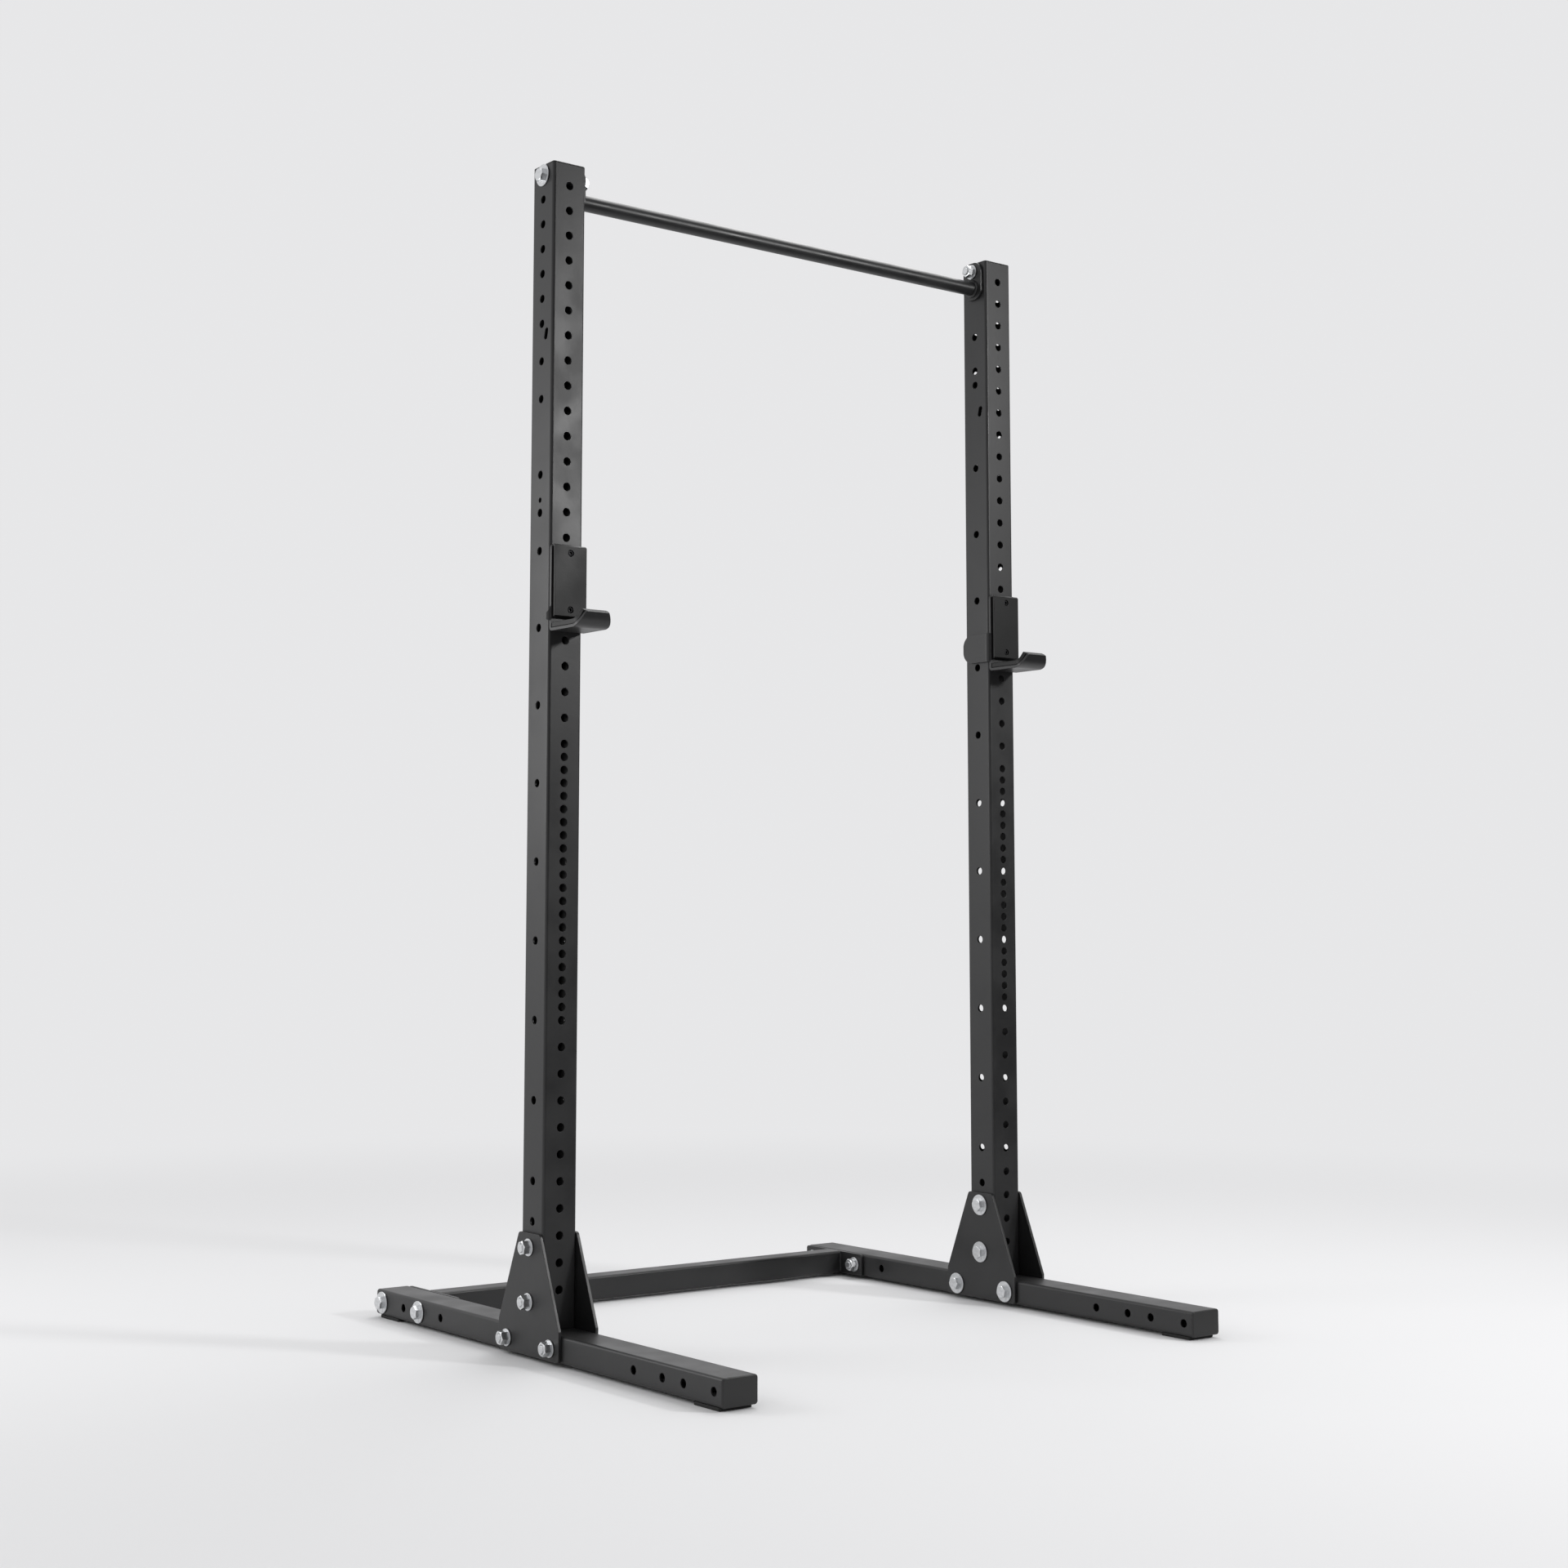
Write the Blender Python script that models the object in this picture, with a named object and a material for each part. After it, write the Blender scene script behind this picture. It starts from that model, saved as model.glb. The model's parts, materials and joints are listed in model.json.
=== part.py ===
"""Half rack: two square uprights on box feet, joined by a pull-up bar and a rear crossmember, with two bar cups."""

import math

import bmesh
import bpy
from mathutils import Matrix, Vector

# Driving sizes, in metres. X runs across the rack, the front is -Y, and Z points up from the floor.
INCH = 0.0254
GAP = 0.0003
PLATE = 0.25 * INCH
TUBE_WALL = 0.0030
TUBE_CORNER = 0.0060

OVERALL_HEIGHT = 92.0 * INCH
UPRIGHT_SPACING = 46.0 * INCH
UPRIGHT_SIDE = 3.0 * INCH

FOOT_LENGTH = 48.0 * INCH
FOOT_HEIGHT = 2.0 * INCH
RUBBER_HEIGHT = 0.25 * INCH
RUBBER_LENGTH = 3.0 * INCH
RUBBER_INSET = 0.5 * INCH
RUBBER_MARGIN = 0.1 * INCH

CAP_FLANGE = 0.0030
CAP_PLUG = 0.0100
CAP_CLEARANCE = 0.0004
CAP_EDGE = 0.0020

# The hole pattern on the front face, measured down from the first hole.
HOLE_DIAMETER = 0.65 * INCH
HOLE_SIDES = 6
FIRST_HOLE_DROP = 1.85 * INCH
COARSE_PITCH = 2.0 * INCH
FINE_PITCH = 1.0 * INCH
FINE_ZONE_TOP = 44.0 * INCH
FINE_ZONE_LENGTH = 21.0 * INCH
HOLE_END_MARGIN = 1.5 * INCH

# The side faces: an accessory row at the top of the outer face, and a through row at a long pitch below it.
CAP_TO_BOLT_HOLE = 0.0016
SIDE_ROW_START = 1.0 * INCH
SIDE_ROW_COUNT = 6
SIDE_ROW_THROUGH = 2
SIDE_THROUGH_PITCH = 6.0 * INCH
SIDE_THROUGH_COUNT = 11
INNER_PAIR_BELOW = 3.1 * INCH
INNER_PAIR_PITCH = 1.3 * INCH
SMALL_HOLE_DIAMETER = 0.40 * INCH
SMALL_HOLE_ABOVE = 1.0 * INCH
SLOT_WIDTH = 0.45 * INCH
SLOT_LENGTH = 0.95 * INCH
SLOT_BELOW_ROW = 0.9 * INCH
SLOT_FORWARD = 0.62 * INCH
SLOT_TILT = math.radians(14.0)

# The foot's side holes, measured from each end, and the gusset plates that hold the upright to it.
FOOT_END_HOLE = 1.0 * INCH
FOOT_HOLE_STEP = 3.5 * INCH
FLANGE_BOLT_PITCH = 6.0 * INCH
GUSSET_TOP = 7.05 * INCH
GUSSET_SHOULDER = 0.3 * INCH
GUSSET_TOP_HALF = 1.45 * INCH
GUSSET_FOOT_HALF = 4.2 * INCH
GUSSET_BOTTOM_RISE = 0.06 * INCH
GUSSET_CORNER = 0.0085
GUSSET_LOW_BOLT = 2.0 * INCH
GUSSET_HIGH_BOLT = 6.0 * INCH
GUSSET_FOOT_BOLT = 3.0 * INCH

# The rear crossmember and the pull-up bar.
CROSS_SIDE = 2.0 * INCH
FLANGE_LENGTH = 8.0 * INCH
FLANGE_CORNER = 0.0060
BAR_DIAMETER = 1.25 * INCH
BAR_WALL = 0.0030
BAR_SIDES = 16
BAR_DROP_BELOW_BOLT = 1.55 * INCH
BAR_FLANGE_WIDTH = 2.25 * INCH
BAR_FLANGE_TOP_DROP = 0.06 * INCH
BAR_FLANGE_BELOW_BAR = 1.02 * INCH
BAR_FLANGE_CORNER = 0.9 * INCH
BAR_COLLAR = 0.0050
BAR_COLLAR_LENGTH = 0.0070

# Fasteners of the five-eighths class.
BOLT_DIAMETER = 0.625 * INCH
HEX_FLATS = 0.9375 * INCH
HEAD_HEIGHT = 0.39 * INCH
NUT_HEIGHT = 0.60 * INCH
WASHER_THICKNESS = 0.0030
HEAD_WASHER_DIAMETER = 1.75 * INCH
NUT_WASHER_DIAMETER = 1.30 * INCH
WASHER_SIDES = 12
NUT_CLEARANCE = 0.0003
THREAD_END = 0.0020
EDGE_BREAK = 0.0012

# The bar cups. Heights are measured down from the upright's first front hole.
CUP_PIN_DROP = 30.0 * INCH
CUP_PLATE_TOP = 1.40 * INCH
CUP_PLATE_HEIGHT = 6.8 * INCH
CUP_CORNER = 0.30 * INCH
CUP_PIN_LENGTH = 2.0 * INCH
CUP_PIN_WELD = 0.0030
CUP_EAR_TOP = 2.05 * INCH
CUP_EAR_HEIGHT = 2.55 * INCH
CUP_EAR_CLEARANCE = 0.0004
CUP_EAR_LENGTH = 3.05 * INCH
CUP_EAR_ROUND = 1.1 * INCH
CUP_TAB_LENGTH = 0.6 * INCH
CUP_TAB_RISE = 0.05 * INCH
CUP_TAB_HEIGHT = 1.35 * INCH
CUP_TAB_TIP = 0.40 * INCH
CUP_TAB_EDGE = 0.06 * INCH
CUP_TAB_STEPS = 4
CUP_SHELF_FLAT = 3.1 * INCH
CUP_LIP_RADIUS = 1.25 * INCH
CUP_LIP_TURN = math.radians(66.0)
CUP_LIP_STRAIGHT = 0.42 * INCH
CUP_LIP_STEPS = 5
CUP_LIP_CORNER = 0.95 * INCH
CUP_LINER_THICKNESS = 0.40 * INCH
CUP_LINER_MARGIN = 0.0010
CUP_PAD_THICKNESS = 0.42 * INCH
CUP_PAD_WIDTH = 2.92 * INCH
CUP_PAD_HEIGHT = 5.65 * INCH
CUP_PAD_TOP = 0.08 * INCH
CUP_PAD_EDGE = 0.0030
CUP_PAD_SLAB = 0.0045
CUP_PAD_STEP = 0.0050
CUP_SCREW_INSET = 0.62 * INCH
SCREW_HEAD_DIAMETER = 0.0120
SCREW_HEAD_HEIGHT = 0.0045
SCREW_DIAMETER = 0.0064
SCREW_CLEARANCE = 0.0005
SCREW_SINK = 0.0015
SCREW_SIDES = 8

# Heights that follow from the driving sizes.
FOOT_BOTTOM = RUBBER_HEIGHT + GAP
FOOT_MIDDLE = FOOT_BOTTOM + FOOT_HEIGHT / 2
FOOT_TOP = FOOT_BOTTOM + FOOT_HEIGHT
UPRIGHT_BOTTOM = FOOT_TOP + GAP
UPRIGHT_TOP = OVERALL_HEIGHT - CAP_FLANGE - GAP
FIRST_HOLE = OVERALL_HEIGHT - FIRST_HOLE_DROP
TOP_BOLT = OVERALL_HEIGHT - CAP_FLANGE - CAP_PLUG - CAP_TO_BOLT_HOLE - HOLE_DIAMETER / 2
FRONT_FACE = -UPRIGHT_SIDE / 2
INNER_HALF = (UPRIGHT_SPACING - UPRIGHT_SIDE) / 2
FOOT_TUBE_HALF = FOOT_LENGTH / 2 - CAP_FLANGE - GAP
FOOT_BACK = FOOT_LENGTH / 2
CROSS_Y = FOOT_BACK - FOOT_END_HOLE - FLANGE_BOLT_PITCH / 2
BAR_HEIGHT = TOP_BOLT - BAR_DROP_BELOW_BOLT
CUP_PIN_HEIGHT = FIRST_HOLE - CUP_PIN_DROP

SIDES = {"left": -1.0, "right": 1.0}


def clear_scene():
    for obj in list(bpy.data.objects):
        bpy.data.objects.remove(obj)


# Materials

def make_material(name, colour, metallic, roughness):
    material = bpy.data.materials.new(name)
    material.use_nodes = True
    shader = material.node_tree.nodes["Principled BSDF"]
    shader.inputs["Base Color"].default_value = (*colour, 1.0)
    shader.inputs["Metallic"].default_value = metallic
    shader.inputs["Roughness"].default_value = roughness
    return material


def black_powder_coat(name):
    return make_material(name, (0.022, 0.022, 0.023), 0.0, 0.42)


def black_oxide(name):
    return make_material(name, (0.030, 0.030, 0.031), 1.0, 0.40)


def bright_zinc(name):
    return make_material(name, (0.62, 0.63, 0.65), 1.0, 0.32)


def black_plastic(name):
    return make_material(name, (0.015, 0.015, 0.015), 0.0, 0.50)


def black_rubber(name):
    return make_material(name, (0.012, 0.012, 0.012), 0.0, 0.85)


# Meshes and objects

def box_mesh(x_range, y_range, z_range):
    low = Vector((x_range[0], y_range[0], z_range[0]))
    high = Vector((x_range[1], y_range[1], z_range[1]))
    bm = bmesh.new()
    bmesh.ops.create_cube(bm, size=1.0)
    bmesh.ops.scale(bm, vec=high - low, verts=bm.verts)
    bmesh.ops.translate(bm, vec=(low + high) / 2, verts=bm.verts)
    return bm


def face_outwards(bm):
    """Turns every face of a closed shape to the outside."""
    bmesh.ops.recalc_face_normals(bm, faces=bm.faces)
    if bm.calc_volume(signed=True) < 0:
        bmesh.ops.reverse_faces(bm, faces=bm.faces)
    return bm


def round_edges(bm, direction, radius, segments, chosen=None):
    """Rounds the straight edges that run along one axis."""
    axis = Vector(direction)
    edges = []
    for edge in bm.edges:
        line = (edge.verts[1].co - edge.verts[0].co).normalized()
        middle = (edge.verts[1].co + edge.verts[0].co) / 2
        if abs(line.dot(axis)) > 0.999 and (chosen is None or chosen(middle)):
            edges.append(edge)
    bmesh.ops.bevel(
        bm,
        geom=edges,
        offset=radius,
        offset_type="OFFSET",
        segments=segments,
        profile=0.5,
        affect="EDGES",
        clamp_overlap=False,
    )
    return bm


def outline_mesh(points, direction):
    """A flat outline pushed along a direction into a plate."""
    bm = bmesh.new()
    face = bm.faces.new([bm.verts.new(point) for point in points])
    pushed = bmesh.ops.extrude_face_region(bm, geom=[face])["geom"]
    new_verts = [item for item in pushed if isinstance(item, bmesh.types.BMVert)]
    bmesh.ops.translate(bm, vec=direction, verts=new_verts)
    return face_outwards(bm)


def ring_of(bm, radius, sides, height):
    turns = [2 * math.pi * index / sides for index in range(sides)]
    return [bm.verts.new((radius * math.cos(turn), radius * math.sin(turn), height)) for turn in turns]


def join_rings(bm, first, second):
    """Faces between two coaxial rings, where one side count is a multiple of the other."""
    few, many = sorted((first, second), key=len)
    step = len(many) // len(few)
    for index in range(len(few)):
        side = [few[(index + 1) % len(few)], few[index]]
        run = [many[(index * step + count) % len(many)] for count in range(step + 1)]
        bm.faces.new(side + run)


def turned_mesh(stations, hollow=False):
    """Rings of (radius, sides, height) joined one to the next, then capped or closed back to the first ring."""
    bm = bmesh.new()
    rings = [ring_of(bm, *station) for station in stations]
    for first, second in zip(rings, rings[1:]):
        join_rings(bm, first, second)
    if hollow:
        join_rings(bm, rings[-1], rings[0])
    else:
        bm.faces.new(rings[0])
        bm.faces.new(rings[-1])
    return face_outwards(bm)


def flats_radius(across_flats, sides):
    return across_flats / 2 / math.cos(math.pi / sides)


def rotation_to(direction):
    return Vector((0, 0, 1)).rotation_difference(Vector(direction)).to_matrix().to_4x4()


def finished_mesh(name, bm, material=None):
    mesh = bpy.data.meshes.new(name)
    bm.to_mesh(mesh)
    bm.free()
    mesh.shade_smooth()
    mesh.set_sharp_from_angle(angle=math.radians(35.0))
    if material is not None:
        mesh.materials.append(material)
    return mesh


def make_object(name, bm, material=None, origin=(0, 0, 0)):
    bmesh.ops.translate(bm, vec=-Vector(origin), verts=bm.verts)
    obj = bpy.data.objects.new(name, finished_mesh(name, bm, material))
    obj.location = origin
    bpy.context.scene.collection.objects.link(obj)
    return obj


def place_copy(name, mesh, matrix):
    obj = bpy.data.objects.new(name, mesh)
    obj.matrix_world = matrix
    bpy.context.scene.collection.objects.link(obj)
    return obj


def boolean(target, operation, bm):
    """Joins, cuts or intersects the target with a hidden helper shape, given in world coordinates."""
    helper = make_object(f"{target.name}_{operation.lower()}_{len(target.modifiers)}", bm)
    helper.hide_render = True
    helper.display_type = "WIRE"
    modifier = target.modifiers.new(operation.title(), "BOOLEAN")
    modifier.operation = operation
    modifier.solver = "EXACT"
    modifier.object = helper
    return target


def drill_mesh(places, direction, diameter, reach, sides=HOLE_SIDES):
    """Straight drills through the given points, each reaching this far to both sides."""
    bm = bmesh.new()
    radius = flats_radius(diameter, sides)
    for place in places:
        turn = rotation_to(direction) @ Matrix.Rotation(math.pi / sides, 4, "Z")
        bmesh.ops.create_cone(
            bm,
            cap_ends=True,
            segments=sides,
            radius1=radius,
            radius2=radius,
            depth=2 * reach,
            matrix=Matrix.Translation(Vector(place)) @ turn,
        )
    return bm


def rounded_tube(name, x_range, y_range, z_range, long_axis, material):
    """A rectangular tube: a rounded box with its two ends open and its wall thickened inwards."""
    bm = box_mesh(x_range, y_range, z_range)
    axis = Vector(long_axis)
    round_edges(bm, long_axis, TUBE_CORNER, 2)
    ends = [face for face in bm.faces if abs(face.normal.dot(axis)) > 0.999]
    bmesh.ops.delete(bm, geom=ends, context="FACES_ONLY")
    tube = make_object(name, bm, material)
    wall = tube.modifiers.new("Wall", "SOLIDIFY")
    wall.thickness = TUBE_WALL
    wall.offset = -1.0
    wall.use_even_offset = True
    wall.use_rim = True
    return tube


# Hole positions

def front_hole_heights():
    """Coarse pitch at the top, fine pitch through the pressing zone, coarse pitch again below it."""
    lowest = UPRIGHT_BOTTOM + HOLE_END_MARGIN
    drops = []
    drop = 0.0
    while drop < FINE_ZONE_TOP - FINE_PITCH / 2:
        drops.append(drop)
        drop += COARSE_PITCH
    drop = FINE_ZONE_TOP
    while drop < FINE_ZONE_TOP + FINE_ZONE_LENGTH + FINE_PITCH / 2:
        drops.append(drop)
        drop += FINE_PITCH
    drop = FINE_ZONE_TOP + FINE_ZONE_LENGTH + COARSE_PITCH
    while FIRST_HOLE - drop > lowest:
        drops.append(drop)
        drop += COARSE_PITCH
    return [FIRST_HOLE - drop for drop in drops if FIRST_HOLE - drop > lowest]


def side_row_drop(index):
    return SIDE_ROW_START + index * COARSE_PITCH


def side_through_drop(steps):
    """Holes through both side faces, counted in steps of the long pitch from one step below the upper row."""
    return side_row_drop(SIDE_ROW_COUNT - 1) + (1 + steps) * SIDE_THROUGH_PITCH


def side_through_drops():
    drops = [side_through_drop(step) for step in range(SIDE_THROUGH_COUNT)]
    return drops + [side_through_drop(SIDE_THROUGH_COUNT - 0.5), side_row_drop(SIDE_ROW_THROUGH)]


def outer_only_drops():
    """The rest of the upper row, and a hole half a step before and after the first two through holes."""
    row = [side_row_drop(index) for index in range(SIDE_ROW_COUNT) if index != SIDE_ROW_THROUGH]
    return row + [side_through_drop(-0.5), side_through_drop(1.5)]


def inner_only_drops():
    upper = side_row_drop(SIDE_ROW_THROUGH) + INNER_PAIR_BELOW
    return [upper, upper + INNER_PAIR_PITCH]


def gusset_bolt_heights():
    return (FOOT_TOP + GUSSET_LOW_BOLT, FOOT_TOP + GUSSET_HIGH_BOLT)


def side_through_heights():
    gusset_top = FOOT_TOP + GUSSET_TOP
    heights = [FIRST_HOLE - drop for drop in side_through_drops()]
    return [TOP_BOLT] + [height for height in heights if height > gusset_top] + list(gusset_bolt_heights())


def foot_hole_places():
    steps = (0.0, FOOT_HOLE_STEP, FLANGE_BOLT_PITCH, FLANGE_BOLT_PITCH + FOOT_HOLE_STEP)
    ends = [FOOT_BACK - FOOT_END_HOLE - step for step in steps]
    return ends + [-place for place in ends] + [GUSSET_FOOT_BOLT, -GUSSET_FOOT_BOLT]


# Uprights

def slot_mesh(wall_x, height):
    """A slanted slot through one side wall: a rounded bar laid across the wall."""
    reach = 2 * TUBE_WALL
    half = SLOT_LENGTH / 2
    bm = box_mesh((-reach, reach), (-SLOT_WIDTH / 2, SLOT_WIDTH / 2), (-half, half))
    round_edges(bm, (1, 0, 0), SLOT_WIDTH / 2 * 0.98, 3)
    lean = Matrix.Rotation(SLOT_TILT, 4, "X")
    move = Matrix.Translation((wall_x, -SLOT_FORWARD, height))
    bmesh.ops.transform(bm, matrix=move @ lean, verts=bm.verts)
    return bm


def side_drills_mesh(centre, side):
    """Every cut in the two side walls as one set of separate drills."""
    middle_of_wall = (UPRIGHT_SIDE - TUBE_WALL) / 2
    outer_wall = centre + side * middle_of_wall
    inner_wall = centre - side * middle_of_wall
    across = (1, 0, 0)
    single = 2 * TUBE_WALL
    through = [(centre, 0, height) for height in side_through_heights()]
    outer = [(outer_wall, 0, FIRST_HOLE - drop) for drop in outer_only_drops()]
    inner = [(inner_wall, 0, FIRST_HOLE - drop) for drop in inner_only_drops()]
    small = [(outer_wall, 0, FIRST_HOLE - side_through_drop(1.5) + SMALL_HOLE_ABOVE)]
    slot_height = FIRST_HOLE - side_row_drop(SIDE_ROW_COUNT - 1) - SLOT_BELOW_ROW
    drills = [
        drill_mesh(through, across, HOLE_DIAMETER, UPRIGHT_SIDE),
        drill_mesh(outer + inner, across, HOLE_DIAMETER, single),
        drill_mesh(small, across, SMALL_HOLE_DIAMETER, single),
        slot_mesh(outer_wall, slot_height),
        slot_mesh(inner_wall, slot_height),
    ]
    return joined_mesh(drills)


def joined_mesh(parts):
    """Several separate shapes as one mesh."""
    whole = bmesh.new()
    for part in parts:
        carrier = bpy.data.meshes.new("carrier")
        part.to_mesh(carrier)
        part.free()
        whole.from_mesh(carrier)
        bpy.data.meshes.remove(carrier)
    return whole


def make_upright(side_name, side):
    centre = side * UPRIGHT_SPACING / 2
    half = UPRIGHT_SIDE / 2
    tube = rounded_tube(
        f"{side_name}_upright",
        (centre - half, centre + half),
        (-half, half),
        (UPRIGHT_BOTTOM, UPRIGHT_TOP),
        (0, 0, 1),
        black_powder_coat(f"{side_name}_upright_coat"),
    )
    front = [(centre, 0, height) for height in front_hole_heights()]
    boolean(tube, "DIFFERENCE", drill_mesh(front, (0, 1, 0), HOLE_DIAMETER, UPRIGHT_SIDE))
    return boolean(tube, "DIFFERENCE", side_drills_mesh(centre, side))


# Plastic end caps

def cap_mesh(width, depth):
    """A flange that covers a tube's end, facing +Z from height 0, with a plug below it."""
    half_width = width / 2
    half_depth = depth / 2
    bm = box_mesh((-half_width, half_width), (-half_depth, half_depth), (0, CAP_FLANGE))
    round_edges(bm, (0, 0, 1), TUBE_CORNER, 2)
    top_edges = [edge for edge in bm.edges if all(vert.co.z > CAP_FLANGE / 2 for vert in edge.verts)]
    bmesh.ops.bevel(bm, geom=top_edges, offset=CAP_EDGE, segments=1, affect="EDGES")
    under = [face for face in bm.faces if face.normal.z < -0.999]
    bmesh.ops.inset_region(bm, faces=under, thickness=TUBE_WALL + CAP_CLEARANCE, use_even_offset=True)
    pushed = bmesh.ops.extrude_face_region(bm, geom=under)["geom"]
    new_verts = [item for item in pushed if isinstance(item, bmesh.types.BMVert)]
    bmesh.ops.translate(bm, vec=(0, 0, -CAP_PLUG), verts=new_verts)
    bmesh.ops.delete(bm, geom=under, context="FACES_ONLY")
    return face_outwards(bm)


def make_upright_cap(side_name, side):
    bm = cap_mesh(UPRIGHT_SIDE, UPRIGHT_SIDE)
    bmesh.ops.translate(bm, vec=(side * UPRIGHT_SPACING / 2, 0, OVERALL_HEIGHT - CAP_FLANGE), verts=bm.verts)
    return make_object(f"{side_name}_upright_cap", bm, black_plastic(f"{side_name}_upright_cap_plastic"))


def make_foot_cap(side_name, side, end_name, end):
    bm = cap_mesh(UPRIGHT_SIDE, FOOT_HEIGHT)
    move = Matrix.Translation((side * UPRIGHT_SPACING / 2, end * (FOOT_LENGTH / 2 - CAP_FLANGE), FOOT_MIDDLE))
    turn = Matrix.Rotation(-end * math.pi / 2, 4, "X")
    bmesh.ops.transform(bm, matrix=move @ turn, verts=bm.verts)
    name = f"{side_name}_foot_{end_name}_cap"
    return make_object(name, bm, black_plastic(f"{name}_plastic"))


# Feet

def make_foot(side_name, side):
    centre = side * UPRIGHT_SPACING / 2
    half = UPRIGHT_SIDE / 2
    foot = rounded_tube(
        f"{side_name}_foot",
        (centre - half, centre + half),
        (-FOOT_TUBE_HALF, FOOT_TUBE_HALF),
        (FOOT_BOTTOM, FOOT_TOP),
        (0, 1, 0),
        black_powder_coat(f"{side_name}_foot_coat"),
    )
    places = [(centre, place, FOOT_MIDDLE) for place in foot_hole_places()]
    return boolean(foot, "DIFFERENCE", drill_mesh(places, (1, 0, 0), HOLE_DIAMETER, UPRIGHT_SIDE))


def make_rubber_pad(side_name, side, end_name, end):
    centre = side * UPRIGHT_SPACING / 2
    half = UPRIGHT_SIDE / 2 - RUBBER_MARGIN
    far = end * (FOOT_LENGTH / 2 - RUBBER_INSET)
    near = far - end * RUBBER_LENGTH
    bm = box_mesh((centre - half, centre + half), (min(far, near), max(far, near)), (0, RUBBER_HEIGHT))
    round_edges(bm, (0, 0, 1), 2 * EDGE_BREAK, 1)
    name = f"{side_name}_foot_{end_name}_pad"
    return make_object(name, bm, black_rubber(f"{name}_rubber"))


# Gusset plates

def make_gusset(side_name, side, face_name, face):
    """A tapered plate beside the upright and the foot, bolted to both."""
    inward = side * UPRIGHT_SPACING / 2 + face * (UPRIGHT_SIDE / 2 + GAP)
    bottom = FOOT_BOTTOM + GUSSET_BOTTOM_RISE
    shoulder = FOOT_TOP + GUSSET_SHOULDER
    top = FOOT_TOP + GUSSET_TOP
    points = [
        (inward, -GUSSET_FOOT_HALF, bottom),
        (inward, GUSSET_FOOT_HALF, bottom),
        (inward, GUSSET_FOOT_HALF, shoulder),
        (inward, GUSSET_TOP_HALF, top),
        (inward, -GUSSET_TOP_HALF, top),
        (inward, -GUSSET_FOOT_HALF, shoulder),
    ]
    bm = outline_mesh(points, (face * PLATE, 0, 0))
    round_edges(bm, (1, 0, 0), GUSSET_CORNER, 2)
    name = f"{side_name}_{face_name}_gusset"
    gusset = make_object(name, bm, black_powder_coat(f"{name}_coat"))
    places = [(inward, 0, height) for height in gusset_bolt_heights()]
    places += [(inward, place, FOOT_MIDDLE) for place in (-GUSSET_FOOT_BOLT, GUSSET_FOOT_BOLT)]
    return boolean(gusset, "DIFFERENCE", drill_mesh(places, (1, 0, 0), HOLE_DIAMETER, 2 * PLATE))


# The rear crossmember and the pull-up bar

def make_crossmember():
    """A square tube welded between two flange plates, each bolted to a foot's inner side."""
    reach = INNER_HALF - GAP
    half = CROSS_SIDE / 2
    bm = box_mesh((-reach, reach), (CROSS_Y - half, CROSS_Y + half), (FOOT_BOTTOM, FOOT_BOTTOM + CROSS_SIDE))
    round_edges(bm, (1, 0, 0), TUBE_CORNER, 2)
    member = make_object("rear_crossmember", bm, black_powder_coat("rear_crossmember_coat"))
    for side in SIDES.values():
        span = sorted((side * reach, side * (reach - PLATE)))
        low = FOOT_BOTTOM + 2 * GAP
        high = FOOT_TOP - 2 * GAP
        flange = box_mesh(span, (FOOT_BACK - FLANGE_LENGTH, FOOT_BACK), (low, high))
        round_edges(flange, (1, 0, 0), FLANGE_CORNER, 2)
        boolean(member, "UNION", flange)
    inner = half - TUBE_WALL
    middle = FOOT_BOTTOM + half
    bore = box_mesh((-2 * reach, 2 * reach), (CROSS_Y - inner, CROSS_Y + inner), (middle - inner, middle + inner))
    round_edges(bore, (1, 0, 0), TUBE_CORNER - TUBE_WALL, 2)
    boolean(member, "DIFFERENCE", bore)
    offsets = (-FLANGE_BOLT_PITCH / 2, FLANGE_BOLT_PITCH / 2)
    ends = [(side * reach, CROSS_Y + offset, FOOT_MIDDLE) for side in SIDES.values() for offset in offsets]
    return boolean(member, "DIFFERENCE", drill_mesh(ends, (1, 0, 0), HOLE_DIAMETER, 2 * PLATE))


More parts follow.
